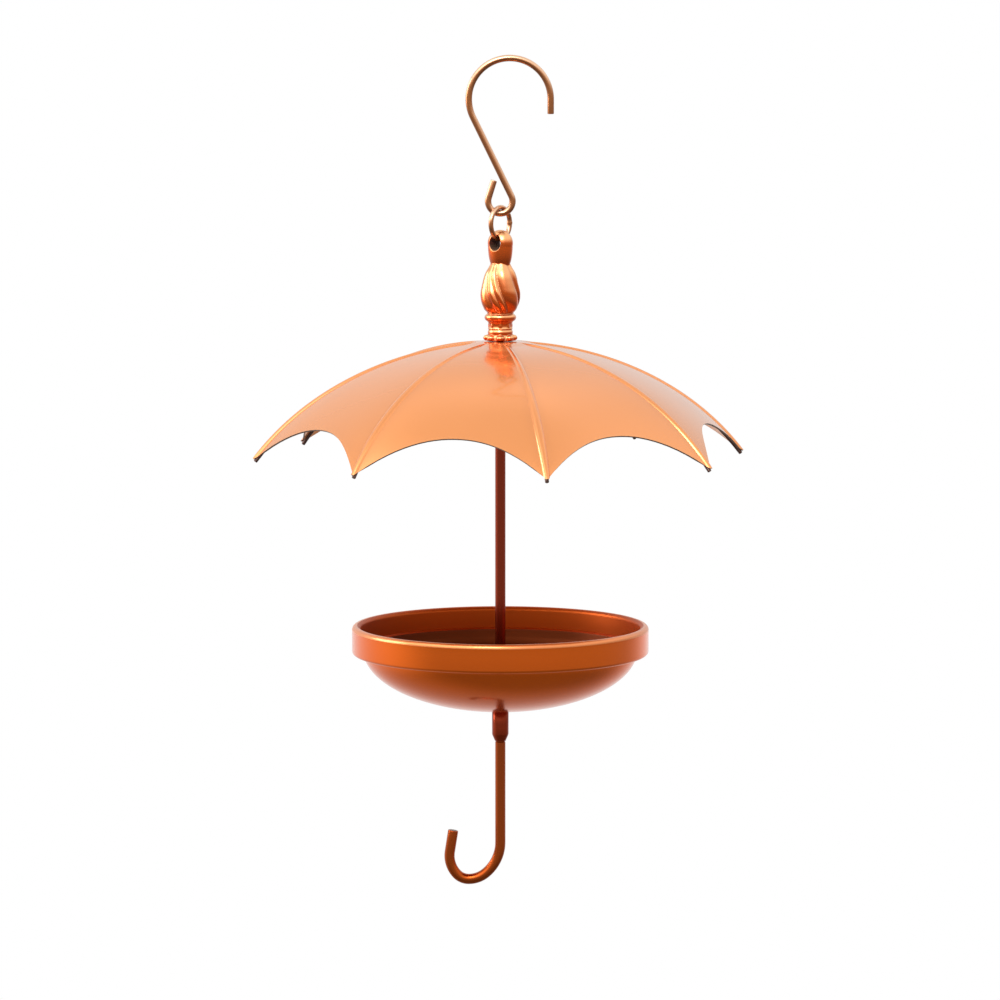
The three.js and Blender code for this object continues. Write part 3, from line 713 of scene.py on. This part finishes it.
class FEEDER_OT_finial(bpy.types.Operator):
    """Model the cast finial: eye, shoulder, bulb of twisted leaves, collar, waist, bead and foot"""

    bl_idname = "feeder.finial"
    bl_label = "Finial"

    # Drop below the neck and radius of the bulb, both as shares
    bulb_shares = (
        (0, 0.5), (0.07, 0.59), (0.15, 0.71), (0.25, 0.81), (0.36, 0.88), (0.47, 0.94),
        (0.57, 0.99), (0.66, 1), (0.75, 0.985), (0.83, 0.94), (0.91, 0.85), (1, 0.66),
    )
    # One leaf's turn shared by its wide lobe and its two narrow ones
    lobe_width_shares = (0.62, 0.23, 0.15)
    leaves = 3
    leaf_start = math.radians(-22)
    eye_thickness = 13.4 * MM
    hole_height = 8.4 * MM
    hole_width = 5.7 * MM
    hole_lower_share = 0.68
    hole_flare = 8.4 * MM
    petals = 8
    bulb_length = 30.1 * MM
    bulb_radius = 12.2 * MM
    bulb_twist = math.radians(55)
    neck_drop = 12.5 * MM
    bore_depth = 13 * MM

    def execute(self, context):
        sizes = context.scene.feeder_sizes
        self.eye_z = high("finial").z - EYE_RADIUS
        self.neck_z = self.eye_z - self.neck_drop
        self.bulb_bottom_z = self.neck_z - self.bulb_length
        self.foot_z = low("finial").z
        parts = [self.make_bulb(sizes.lobe_depth), self.make_core()]
        parts += [self.make_shoulder(), self.make_eye()]
        # Slender upright flutes round the waist, and a rounded petal under each on the foot
        parts += self.make_knobs(6.3 * MM, self.bulb_bottom_z - 7.4 * MM, (1.2, 1.2, 2.9))
        parts += self.make_knobs(7.7 * MM, self.foot_z + 1.85 * MM, (2.8, 2.5, 1.9))
        finial = join(parts, "finial_casting")
        modify(finial, "REMESH", mode="VOXEL", voxel_size=sizes.casting_grain)
        cut(finial, self.make_eye_hole())
        modify(finial, "REMESH", mode="VOXEL", voxel_size=sizes.casting_grain)
        modify(finial, "SMOOTH", factor=0.5, iterations=3)
        bore_rows = [(BORE, self.foot_z - 1 * MM), (BORE, self.foot_z + self.bore_depth)]
        cut(finial, turned("bore", bore_rows, 48))
        finish(finial, "finial", "Finial coating", 50)
        return {"FINISHED"}

    def radius_share(self, drop):
        """Share of the bulb's radius at a drop, on a smooth curve through its points."""
        points = self.bulb_shares
        i = 0
        while i < len(points) - 2 and points[i + 1][0] < drop:
            i += 1
        before = points[max(i - 1, 0)]
        start, end = points[i], points[i + 1]
        after = points[min(i + 2, len(points) - 1)]
        t = (drop - start[0]) / (end[0] - start[0])
        start_slope = (end[1] - before[1]) / (end[0] - before[0]) * (end[0] - start[0])
        end_slope = (after[1] - start[1]) / (after[0] - start[0]) * (end[0] - start[0])
        return (
            (2 * t ** 3 - 3 * t ** 2 + 1) * start[1] + (t ** 3 - 2 * t ** 2 + t) * start_slope
            + (-2 * t ** 3 + 3 * t ** 2) * end[1] + (t ** 3 - t ** 2) * end_slope
        )

    def groove(self, turn_share):
        """Depth of the grooves at a share of one leaf's turn, from 0 on a crest to about 1."""
        turn_share = (turn_share - self.leaf_start / FULL_TURN * self.leaves) % 1
        start = 0
        for width in self.lobe_width_shares:
            if turn_share < start + width:
                along = (turn_share - start) / width
                return (1 - math.sin(HALF_TURN * along) ** 0.8) * (0.45 + width)
            start += width
        return 0

    def make_bulb(self, lobe_depth):
        sides = 144
        leaf_sides = sides // self.leaves
        rows = 60
        radius = self.bulb_radius * self.radius_share(0)
        height = self.neck_z
        bulb = start_ring("bulb", sides, radius, (0, 0, height))

        def column_of(co):
            return round(math.atan2(co.x, -co.y) % FULL_TURN / FULL_TURN * sides) % leaf_sides

        for column in range(leaf_sides):
            select_where(bulb, lambda co: column_of(co) == column)
            left = 1 - lobe_depth / self.bulb_radius * self.groove(column / leaf_sides)
            bpy.ops.transform.resize(value=(left, left, 1), center_override=(0, 0, height))
        bpy.ops.mesh.select_all(action="SELECT")
        turned_by = 0
        for row in range(1, rows + 1):
            drop = row / rows
            next_radius = self.bulb_radius * self.radius_share(drop)
            next_height = self.neck_z - self.bulb_length * drop
            raise_ring(next_height - height, next_radius / radius, next_height)
            turn = self.bulb_twist * drop ** 1.6
            bpy.ops.transform.rotate(
                value=-(turn - turned_by), orient_axis="Z", center_override=(0, 0, next_height),
            )
            if drop > 0.94:
                bpy.ops.transform.tosphere(value=0.35, center_override=(0, 0, next_height))
            radius, height, turned_by = next_radius, next_height, turn
        finish_shell()
        return bulb

    def make_core(self):
        """Neck, collar, waist, bead and the middle of the foot, turned on the axis."""
        neck = 5.5 * MM
        collar = 9.7 * MM
        waist = 6.9 * MM
        bead = 7.7 * MM
        collar_mid = self.bulb_bottom_z - 2.5 * MM
        waist_top = self.bulb_bottom_z - 5 * MM
        waist_bottom = waist_top - 4.6 * MM
        bead_mid = waist_bottom - 1.9 * MM
        foot_top = waist_bottom - 3.9 * MM
        rows = [(neck, self.neck_z), (neck * 0.8, self.bulb_bottom_z)]
        rows += arc_rows(
            collar - 2.4 * MM, collar_mid, 2.4 * MM, 2.3 * MM, QUARTER_TURN, -QUARTER_TURN, 14,
        )
        rows += arc_rows(
            waist + 1.2 * MM, (waist_top + waist_bottom) / 2, -1.2 * MM, 2.2 * MM,
            QUARTER_TURN * 0.8, -QUARTER_TURN * 0.8, 10,
        )
        rows += arc_rows(
            bead - 1.7 * MM, bead_mid, 1.7 * MM, 1.9 * MM, QUARTER_TURN, -QUARTER_TURN, 14,
        )
        rows += [(7.6 * MM, foot_top), (8.4 * MM, self.foot_z + 0.4 * MM), (8.2 * MM, self.foot_z)]
        return turned("core", rows, 96)

    def make_shoulder(self):
        """The barrel under the eye, flattened as the eye is and drawn in to the neck."""
        neck = 6.1 * MM
        shoulder = 8 * MM
        swell = 3.4 * MM
        middle = self.eye_z - 1 * MM
        drop = middle - self.neck_z
        core = shoulder - swell
        rows = arc_rows(core, middle, swell, 5 * MM, QUARTER_TURN * 0.6, 0, 6)
        rows += arc_rows(core, middle, swell, drop / 0.87, 0, -QUARTER_TURN * 0.67, 14)[1:]
        rows += [(neck, self.neck_z), (neck * 0.8, self.neck_z - 1 * MM)]
        barrel = turned("shoulder", rows, 96)
        pick(barrel)
        settle(barrel, scale=(1, 0.83, 1))
        settle(barrel, rotation_euler=(0, 0, -RING_TURN))
        return barrel

    def make_eye(self):
        """The ball of the eye, flattened along its hole."""
        clear_selection()
        bpy.ops.mesh.primitive_uv_sphere_add(segments=96, ring_count=64, radius=EYE_RADIUS)
        eye = bpy.context.object
        eye.name = "eye"
        settle(eye, scale=(1, self.eye_thickness / 2 / EYE_RADIUS, 1))
        settle(eye, rotation_euler=(0, 0, -RING_TURN), location=(0, 0, self.eye_z))
        return eye

    def make_eye_hole(self):
        """The space of the hole: higher than wide, flared towards both faces, less so below."""
        half = EYE_RADIUS + 1 * MM
        steps = 24
        rows = []
        for i in range(steps + 1):
            along = half * (2 * i / steps - 1)
            rows.append((self.hole_height / 2 + along ** 2 / (2 * self.hole_flare), along))
        hole = turned("eye_hole", rows, 64)
        pick(hole)
        bpy.ops.object.mode_set(mode="EDIT")
        select_where(hole, lambda co: co.y < 0)
        bpy.ops.transform.resize(value=(1, self.hole_lower_share, 1), center_override=(0, 0, 0))
        bpy.ops.object.mode_set(mode="OBJECT")
        settle(hole, scale=(self.hole_width / self.hole_height, 1, 1))
        settle(hole, rotation_euler=(QUARTER_TURN, 0, -RING_TURN), location=(0, 0, self.eye_z))
        return hole

    def make_knobs(self, radius, height, halves):
        """Ellipsoids round the axis, their half sizes in millimetres outwards, across and up."""
        knobs = []
        for i in range(self.petals):
            angle = FULL_TURN * i / self.petals
            clear_selection()
            bpy.ops.mesh.primitive_uv_sphere_add(segments=24, ring_count=16, radius=MM)
            knob = bpy.context.object
            settle(knob, scale=halves)
            at = (radius * math.sin(angle), -radius * math.cos(angle), height)
            settle(knob, rotation_euler=(0, 0, angle - QUARTER_TURN), location=at)
            knobs.append(knob)
        return knobs


class CanopyShape:
    """The canopy's upper face: an arched line along each rib, ridges, sagging panels and hem."""

    ribs = 8
    first_rib = math.radians(10.35)
    scallop = 23.1 * MM
    reach_past_tip = 27.7 * MM
    depth = 148.4 * MM
    flat = 12 * MM
    hem_power = 2.1
    widest_share = 0.8
    ridge_widths = (2.6 * MM, 5.4 * MM, 3.8 * MM)

    def __init__(self, sizes):
        self.top = high("canopy").z
        self.tip = widest_radius("canopy")
        self.ridge_heights = (sizes.ridge_top_height, sizes.ridge_hem_height)
        self.sag = sizes.panel_sag
        self.panel_turn = FULL_TURN / self.ribs

    def rib_height(self, radius):
        half_width = self.tip + self.reach_past_tip

        def fall(r):
            return self.depth * (1 - math.sqrt(1 - (r / half_width) ** 2))

        return self.top - max(0, fall(radius) - fall(self.flat))

    def steepness(self, radius):
        step = 1.5 * MM
        return math.atan((self.rib_height(radius) - self.rib_height(radius + step)) / step)

    def hem_radius(self, across):
        return self.tip - self.scallop * (1 - abs(across) ** self.hem_power)

    def ridge_half_width(self, share):
        top, hem, tip = self.ridge_widths
        if share < self.widest_share:
            grown = share / self.widest_share
            return (top + (hem - top) * grown * grown * (3 - 2 * grown)) / 2
        past = (share - self.widest_share) / (1 - self.widest_share)
        return (hem + (tip - hem) * past * past) / 2

    def point(self, column_share, share):
        """A point from one crest at column share 0 to the next at 1, and from hole to hem."""
        ridge_columns = 0.2
        guess = BORE + (self.tip - BORE) * share
        ridge_turn = min(self.ridge_half_width(share) / guess, self.panel_turn * 0.25)
        half = self.panel_turn / 2
        side = min(column_share, 1 - column_share)
        sag = 0
        rise = 0
        if side < ridge_columns:
            beside = side / ridge_columns
            turn = ridge_turn * beside
            rise = 1 - beside ** 2.3
        else:
            inside = (side - ridge_columns) / (0.5 - ridge_columns)
            turn = ridge_turn + (half - ridge_turn) * inside
            sag = 1 - (1 - inside) ** 2
        blunt = max(0, 2 * side / ridge_columns - 1) if side < ridge_columns else 1
        across = 1 - blunt * turn / half
        radius = BORE + (self.hem_radius(across) - BORE) * share
        begun = min(1, max(0, (radius - self.flat) / self.flat))
        fade = begun * begun * (3 - 2 * begun)
        top_height, hem_height = self.ridge_heights
        ridge = top_height + (hem_height - top_height) * share
        lift = -fade * (ridge * (1 - rise) + self.sag * sag * share ** 2)
        steep = self.steepness(radius)
        reach = radius + lift * math.sin(steep)
        height = self.rib_height(radius) + lift * math.cos(steep)
        angle = self.first_rib + (turn if column_share < 0.5 else self.panel_turn - turn)
        return Vector((reach * math.sin(angle), -reach * math.cos(angle), height))


class FEEDER_OT_canopy(bpy.types.Operator):
    """Press the scalloped canopy: one eighth is shaped, copied round, merged and given its sheet"""

    bl_idname = "feeder.canopy"
    bl_label = "Canopy"

    def execute(self, context):
        sizes = context.scene.feeder_sizes
        shape = CanopyShape(sizes)
        clear_selection()
        bpy.ops.mesh.primitive_grid_add(x_subdivisions=40, y_subdivisions=84, size=1)
        panel = take_new("panel")
        for vert in panel.data.vertices:
            vert.co = shape.point(vert.co.x + 0.5, vert.co.y + 0.5)
        panels = [panel]
        for i in range(1, shape.ribs):
            panels.append(copy_turned(panel, f"panel_{i}", shape.panel_turn * i))
        canopy = join(panels, "canopy_sheet")
        bpy.ops.object.mode_set(mode="EDIT")
        finish_shell(closed=False)
        pick(canopy)
        if sum(face.normal.z * face.area for face in canopy.data.polygons) < 0:
            bpy.ops.object.mode_set(mode="EDIT")
            bpy.ops.mesh.select_all(action="SELECT")
            bpy.ops.mesh.flip_normals()
            bpy.ops.object.mode_set(mode="OBJECT")
        dress(canopy, "Canopy coating")
        canopy.data.materials.append(material_named("Cut edge"))
        modify(
            canopy, "SOLIDIFY", thickness=sizes.canopy_sheet, offset=-1, use_even_offset=True,
            material_offset_rim=1,
        )
        smooth(canopy, 40)
        place(canopy, "feeder", ["canopy"])
        return {"FINISHED"}


class FEEDER_OT_rib_wires(bpy.types.Operator):
    """Bend one rib wire under a ridge and copy it round to all eight"""

    bl_idname = "feeder.rib_wires"
    bl_label = "Rib Wires"

    def execute(self, context):
        sizes = context.scene.feeder_sizes
        shape = CanopyShape(sizes)
        wire = 1.2 * MM
        gap = 0.35 * MM
        start_radius = 18 * MM
        tip_length = 0.8 * MM
        edge = 0.35 * MM
        depth = sizes.canopy_sheet + gap + wire
        steps = 30
        points = []
        for i in range(steps + 1):
            radius = start_radius + (shape.tip - start_radius) * i / steps
            steep = shape.steepness(radius)
            height = shape.rib_height(radius) - depth * math.cos(steep)
            points.append(Vector((radius - depth * math.sin(steep), 0, height)))
        headings = []
        for start, end in zip(points, points[1:]):
            headings.append(math.atan2(end.z - start.z, end.x - start.x))
        rib = BentWire("rib", 16, wire - edge, points[0].x, points[0].z, headings[0])
        rib.round_edge(edge, wire, opening=True)
        for i, heading in enumerate(headings):
            rib.heading = heading
            rib.pull((points[i + 1] - points[i]).length - (edge if i == 0 else 0))
            rib.face((heading + headings[min(i + 1, steps - 1)]) / 2)
        rib.pull(tip_length - edge)
        rib.round_edge(edge, wire)
        finish_shell()
        smooth(rib.piece)
        for i in range(shape.ribs):
            angle = shape.first_rib + shape.panel_turn * i - QUARTER_TURN
            wire_piece = copy_turned(rib.piece, f"rib_wire_{i + 1}_bar", angle)
            # The rib wires' dark coating is painted shade
            dress(wire_piece, "Rib coating", "Cut edge")
            place(wire_piece, "feeder", [f"rib_wire_{i + 1}"])
        bpy.data.objects.remove(rib.piece)
        return {"FINISHED"}


class FEEDER_OT_fasteners(bpy.types.Operator):
    """Make the two washers and the two hexagon nuts that clamp the canopy and the dish"""

    bl_idname = "feeder.fasteners"
    bl_label = "Washers and Nuts"

    edge = 0.2 * MM
    nut_flat = 4 * MM
    nut_chamfer = 0.5 * MM
    # How far the cutting barrel stands off the nut's flats and corners
    clearance = 0.1 * MM

    def execute(self, context):
        for node_name in ("canopy_washer", "dish_washer"):
            self.make_washer(node_name)
        for node_name in ("canopy_nut", "dish_nut"):
            self.make_nut(node_name)
        return {"FINISHED"}

    def make_washer(self, node_name):
        radius = high(node_name).x
        bottom, top = low(node_name).z, high(node_name).z
        edge = self.edge
        rows = [
            (BORE + edge, bottom), (radius - edge, bottom), (radius, bottom + edge),
            (radius, top - edge), (radius - edge, top), (BORE + edge, top),
            (BORE, top - edge), (BORE, bottom + edge), (BORE + edge, bottom),
        ]
        washer = turned(f"{node_name}_disc", rows, 72)
        finish(washer, node_name, "Zinc plate", 30)

    def make_nut(self, node_name):
        bottom, top = low(node_name).z, high(node_name).z
        corner = self.nut_flat / math.cos(HALF_TURN / 6)
        clear_selection()
        bpy.ops.mesh.primitive_cylinder_add(
            vertices=6, radius=corner, depth=top - bottom, location=(0, 0, (top + bottom) / 2),
        )
        nut = take_new(f"{node_name}_hex")
        inner, outer = self.nut_flat - self.clearance, corner + self.clearance
        barrel_rows = [
            (inner, bottom), (outer, bottom + self.nut_chamfer), (outer, top - self.nut_chamfer),
            (inner, top),
        ]
        cut(nut, turned("barrel", barrel_rows, 72), "INTERSECT")
        cut(nut, turned("bore", [(BORE, bottom - MM), (BORE, top + MM)], 48))
        modify(
            nut, "BEVEL", width=0.12 * MM, segments=2, limit_method="ANGLE",
            angle_limit=math.radians(25),
        )
        finish(nut, node_name, "Zinc plate", 30)


class FEEDER_OT_center_rod(bpy.types.Operator):
    """Turn the rod with its shoulders and its two studs"""

    bl_idname = "feeder.center_rod"
    bl_label = "Rod"

    def execute(self, context):
        radius = context.scene.feeder_sizes.rod / 2
        edge = 0.3 * MM
        bottom, top = low("center_rod").z, high("center_rod").z
        shoulder_top = low("canopy_nut").z - GAP
        shoulder_bottom = high("dish_nut").z + GAP
        rows = [
            (STUD - edge, bottom), (STUD, bottom + edge), (STUD, shoulder_bottom),
            (radius - edge, shoulder_bottom), (radius, shoulder_bottom + edge),
            (radius, shoulder_top - edge), (radius - edge, shoulder_top), (STUD, shoulder_top),
            (STUD, top - edge), (STUD - edge, top),
        ]
        rod = turned("center_rod_bar", rows, 64)
        finish(rod, "center_rod", "Rod coating")
        return {"FINISHED"}


class FEEDER_OT_dish(bpy.types.Operator):
    """Spin the dish: floor, bowl, ledge, wall and the rim rolled over and down, then its sheet"""

    bl_idname = "feeder.dish"
    bl_label = "Dish"

    def execute(self, context):
        sheet = context.scene.feeder_sizes.dish_sheet
        half = sheet / 2
        hole = 3 * MM
        floor_radius = 20 * MM
        bowl_radius = 84.2 * MM - half
        bowl_depth = 37 * MM
        rim_width = 5.2 * MM
        rim_height = 17.6 * MM
        flange_gap = 0.7 * MM
        corner = 1.6 * MM
        ledge = 1.6 * MM
        wall_height = 13.4 * MM
        bottom, top = low("dish").z, high("dish").z
        floor_z = bottom + half
        roll = (rim_width - sheet) / 2
        skirt = widest_radius("dish") - half
        wall = skirt - 2 * roll
        roll_z = top - half - roll
        rim_bottom = top - rim_height + half
        floor_drop = bowl_depth * (1 - math.sqrt(1 - (floor_radius / bowl_radius) ** 2))
        start = math.asin(floor_radius / bowl_radius)
        end = math.radians(84)
        bowl_steps = 44
        rows = [(hole, floor_z), (floor_radius * 0.5, floor_z), (floor_radius * 0.9, floor_z)]
        for i in range(bowl_steps + 1):
            angle = start + (end - start) * i / bowl_steps
            height = floor_z - floor_drop + bowl_depth * (1 - math.cos(angle))
            rows.append((bowl_radius * math.sin(angle), height))
        ledge_z = top - wall_height
        rows += [
            (bowl_radius, ledge_z - ledge * 1.2), (bowl_radius + 0.2 * MM, ledge_z - ledge * 0.6),
            (wall - 0.4 * MM, ledge_z - ledge * 0.25), (wall, ledge_z), (wall, ledge_z + 0.6 * MM),
        ]
        rows += arc_rows(skirt - roll, roll_z, roll, roll, HALF_TURN, 0, 14)
        rows += arc_rows(skirt - corner, rim_bottom + corner, corner, corner, 0, -QUARTER_TURN, 7)
        rows.append((bowl_radius + sheet + flange_gap, rim_bottom))
        dish = turned("dish_sheet", rows, 240, closed=False)
        modify(dish, "SOLIDIFY", thickness=sheet, offset=0, use_even_offset=True)
        smooth(dish, 40)
        dress(dish, "Dish coating")
        for material in ("Dish lining", "Dish floor", "Dish lip"):
            dish.data.materials.append(material_named(material))
        # Faces on top of the rolled rim get the painted highlight; inner faces get painted shade,
        # darker on the floor
        lip_z = roll_z - 0.6 * MM
        wall_z = ledge_z - ledge * 0.3
        for face in dish.data.polygons:
            out = Vector((face.center.x, face.center.y, 0))
            outwards = face.normal.dot(out.normalized())
            if face.center.z > lip_z and outwards > -0.3:
                face.material_index = 3
            elif out.length < wall + roll and (face.normal.z > 0.05 or outwards < -0.05):
                face.material_index = 1 if face.center.z > wall_z else 2
        place(dish, "feeder", ["dish"])
        return {"FINISHED"}


class FEEDER_OT_coupling_sleeve(bpy.types.Operator):
    """Turn the coupling sleeve with its tapered lower end"""

    bl_idname = "feeder.coupling_sleeve"
    bl_label = "Coupling Sleeve"

    def execute(self, context):
        tip = 3.5 * MM
        taper = 4 * MM
        edge = 0.4 * MM
        radius = high("coupling_sleeve").x
        bottom, top = low("coupling_sleeve").z, high("coupling_sleeve").z
        rows = [
            (BORE, bottom), (tip - edge / 2, bottom), (tip, bottom + edge),
            (radius - edge / 2, bottom + taper - edge), (radius, bottom + taper + edge),
            (radius, top - edge), (radius - edge, top), (BORE, top), (BORE, bottom),
        ]
        sleeve = turned("coupling_sleeve_tube", rows, 72)
        finish(sleeve, "coupling_sleeve", "Rod coating", 50)
        return {"FINISHED"}


class FEEDER_OT_j_hook(bpy.types.Operator):
    """Bend the J hook from its stud down the shank and round the crook to its tip"""

    bl_idname = "feeder.j_hook"
    bl_label = "J Hook"

    # Radius in millimetres, angle in degrees and steps of each bend round the crook
    crook = ((25.04, 49.6, 16), (16.5, 40.4, 16), (10, 47.3, 18), (16.78, 51.7, 18))
    # Height of the crook's start over its lowest middle line, and straight length at its tip
    crook_height = 23 * MM
    tip_length = 13.4 * MM

    def execute(self, context):
        radius = context.scene.feeder_sizes.rod / 2
        edge = 0.5 * MM
        top = high("j_hook").z
        shoulder = low("coupling_sleeve").z - GAP
        crook_z = low("j_hook").z + radius + self.crook_height
        hook = BentWire("j_hook_rod", 40, STUD - edge / 2, 0, top, -QUARTER_TURN)
        hook.pull(edge / 2)
        hook.widen(STUD)
        hook.pull(top - shoulder - edge / 2)
        hook.widen(radius - edge)
        hook.pull(edge)
        hook.widen(radius)
        hook.pull(shoulder - edge - crook_z)
        for bend_radius, angle, steps in self.crook:
            hook.bend(bend_radius * MM, -math.radians(angle), steps)
        hook.pull(self.tip_length - edge)
        hook.round_edge(edge, radius)
        finish_shell()
        finish(hook.piece, "j_hook", "J hook coating", ends="Cut edge")
        return {"FINISHED"}


# Studio


def seen_directly(tree, paths):
    return calc(tree, "MAXIMUM", paths["Is Camera Ray"], paths["Is Transmission Ray"])


class FEEDER_OT_stage(bpy.types.Operator):
    """Set up the pale floor, the soft lights, the white room and the camera"""

    bl_idname = "feeder.stage"
    bl_label = "Studio"

    floor_radius = 12
    # Distances from the object between which the floor turns white for the camera
    floor_fade = (0.5, 1.6)
    light_target = Vector((0, 0, -0.25))

    def execute(self, context):
        studio = context.scene.feeder_studio
        context.scene.view_settings.view_transform = "Standard"
        self.make_floor(studio)
        self.make_room(context, studio)
        overhead = self.add_light("overhead_light", (-0.35, -0.5, 1.5), 2.2, studio.key_power)
        overhead.visible_glossy = False
        self.add_light("front_light", (-0.25, -1.3, 0.95), 0.6, studio.front_power)
        self.add_light("left_light", (-1.7, 0.25, 0.25), 1.1, studio.side_power)
        self.add_camera(context, studio)
        return {"FINISHED"}

    def add_camera(self, context, studio):
        clear_selection()
        bpy.ops.object.camera_add(
            location=studio.camera_place, rotation=(QUARTER_TURN - studio.camera_tilt, 0, 0),
        )
        camera = context.object
        camera.name = "camera"
        camera.data.sensor_width = 36
        camera.data.lens = studio.focal_length
        camera.data.clip_start = 0.05
        camera.data.clip_end = 100
        context.scene.camera = camera

    def add_light(self, name, at, size, power):
        clear_selection()
        turn = (self.light_target - Vector(at)).to_track_quat("-Z", "Y").to_euler()
        bpy.ops.object.light_add(type="AREA", location=at, rotation=turn)
        light = bpy.context.object
        light.name = name
        light.data.shape = "DISK"
        light.data.size = size
        light.data.energy = power
        return light

    def make_floor(self, studio):
        clear_selection()
        bpy.ops.mesh.primitive_circle_add(
            vertices=128, radius=self.floor_radius, fill_type="NGON",
            location=(0, 0, low("j_hook").z - studio.floor_drop),
        )
        floor = take_new("studio_floor")
        floor.data.materials.append(self.floor_material())

    def floor_material(self):
        """Pale near the object, white further out, clear from below, the room in reflections."""
        material = bpy.data.materials.new("Studio floor")
        material.use_nodes = True
        tree = material.node_tree
        shader = tree.nodes["Principled BSDF"]
        feed(tree, shader.inputs, {"Base Color": (0.86, 0.86, 0.86, 1), "Roughness": 0.8})
        geometry = add(tree, "NewGeometry")
        paths = add(tree, "LightPath")
        level = {0: geometry["Position"], 1: (1, 1, 0)}
        flat = add(tree, "VectorMath", level, operation="MULTIPLY")["Vector"]
        distance = add(tree, "VectorMath", {0: flat}, operation="LENGTH")["Value"]
        direct = seen_directly(tree, paths)
        white = calc(tree, "MULTIPLY", ramp(tree, distance, *self.floor_fade), direct)
        white = calc(tree, "MAXIMUM", white, paths["Is Glossy Ray"])
        ray = {0: geometry["Incoming"], "Scale": -1}
        ray = add(tree, "VectorMath", ray, operation="SCALE")["Vector"]
        room = add_group(tree, "Room Glow", {"Direction": ray})["Glow"]
        glow = add(tree, "Emission", {"Strength": calc(tree, "MAXIMUM", room, direct)})["Emission"]
        upper_side = mix_shaders(tree, white, shader.outputs["BSDF"], glow)
        clear = add(tree, "BsdfTransparent")["BSDF"]
        sides = mix_shaders(tree, geometry["Backfacing"], upper_side, clear)
        feed(tree, tree.nodes["Material Output"].inputs, {"Surface": sides})
        return material

    def make_room(self, context, studio):
        """A white background, an even light, and in reflections the room's own glow."""
        world = bpy.data.worlds.new("Studio room")
        context.scene.world = world
        world.use_nodes = True
        tree = world.node_tree
        even = tree.nodes["Background"]
        feed(tree, even.inputs, {"Color": WHITE, "Strength": studio.ambient})
        white = add(tree, "Background", {"Color": WHITE})["Background"]
        way = add(tree, "TexCoord")["Generated"]
        glow = add_group(tree, "Room Glow", {"Direction": way})["Glow"]
        mirrored = add(tree, "Background", {"Strength": glow})["Background"]
        paths = add(tree, "LightPath")
        lit = mix_shaders(tree, paths["Is Glossy Ray"], even.outputs["Background"], mirrored)
        seen = mix_shaders(tree, seen_directly(tree, paths), lit, white)
        feed(tree, tree.nodes["World Output"].inputs, {"Surface": seen})


class FEEDER_PT_panel(bpy.types.Panel):
    bl_label = "Umbrella Bird Feeder"
    bl_idname = "FEEDER_PT_panel"
    bl_space_type = "VIEW_3D"
    bl_region_type = "UI"
    bl_category = "Feeder"

    def draw(self, context):
        for operator in OPERATORS:
            self.layout.operator(operator.bl_idname)
        for group in ("feeder_sizes", "feeder_finishes", "feeder_studio"):
            settings = getattr(context.scene, group)
            for name in settings.__annotations__:
                self.layout.prop(settings, name)


OPERATORS = (
    FEEDER_OT_stage,
    FEEDER_OT_s_hook,
    FEEDER_OT_hanging_ring,
    FEEDER_OT_finial,
    FEEDER_OT_canopy,
    FEEDER_OT_rib_wires,
    FEEDER_OT_fasteners,
    FEEDER_OT_center_rod,
    FEEDER_OT_dish,
    FEEDER_OT_coupling_sleeve,
    FEEDER_OT_j_hook,
)
SETTINGS = (
    ("feeder_sizes", FeederSizes),
    ("feeder_finishes", FeederFinishes),
    ("feeder_studio", FeederStudio),
)


def register():
    for name, group in SETTINGS:
        bpy.utils.register_class(group)
        setattr(bpy.types.Scene, name, bpy.props.PointerProperty(type=group))
    for operator in OPERATORS:
        bpy.utils.register_class(operator)
    bpy.utils.register_class(FEEDER_PT_panel)


def unregister():
    bpy.utils.unregister_class(FEEDER_PT_panel)
    for operator in reversed(OPERATORS):
        bpy.utils.unregister_class(operator)
    for name, group in reversed(SETTINGS):
        delattr(bpy.types.Scene, name)
        bpy.utils.unregister_class(group)


def main():
    register()
    bpy.ops.feeder.stage()
    bpy.ops.feeder.s_hook()
    bpy.ops.feeder.hanging_ring()
    bpy.ops.feeder.finial()
    bpy.ops.feeder.canopy()
    bpy.ops.feeder.rib_wires()
    bpy.ops.feeder.fasteners()
    bpy.ops.feeder.center_rod()
    bpy.ops.feeder.dish()
    bpy.ops.feeder.coupling_sleeve()
    bpy.ops.feeder.j_hook()
    clear_selection()


if __name__ == "__main__":
    main()
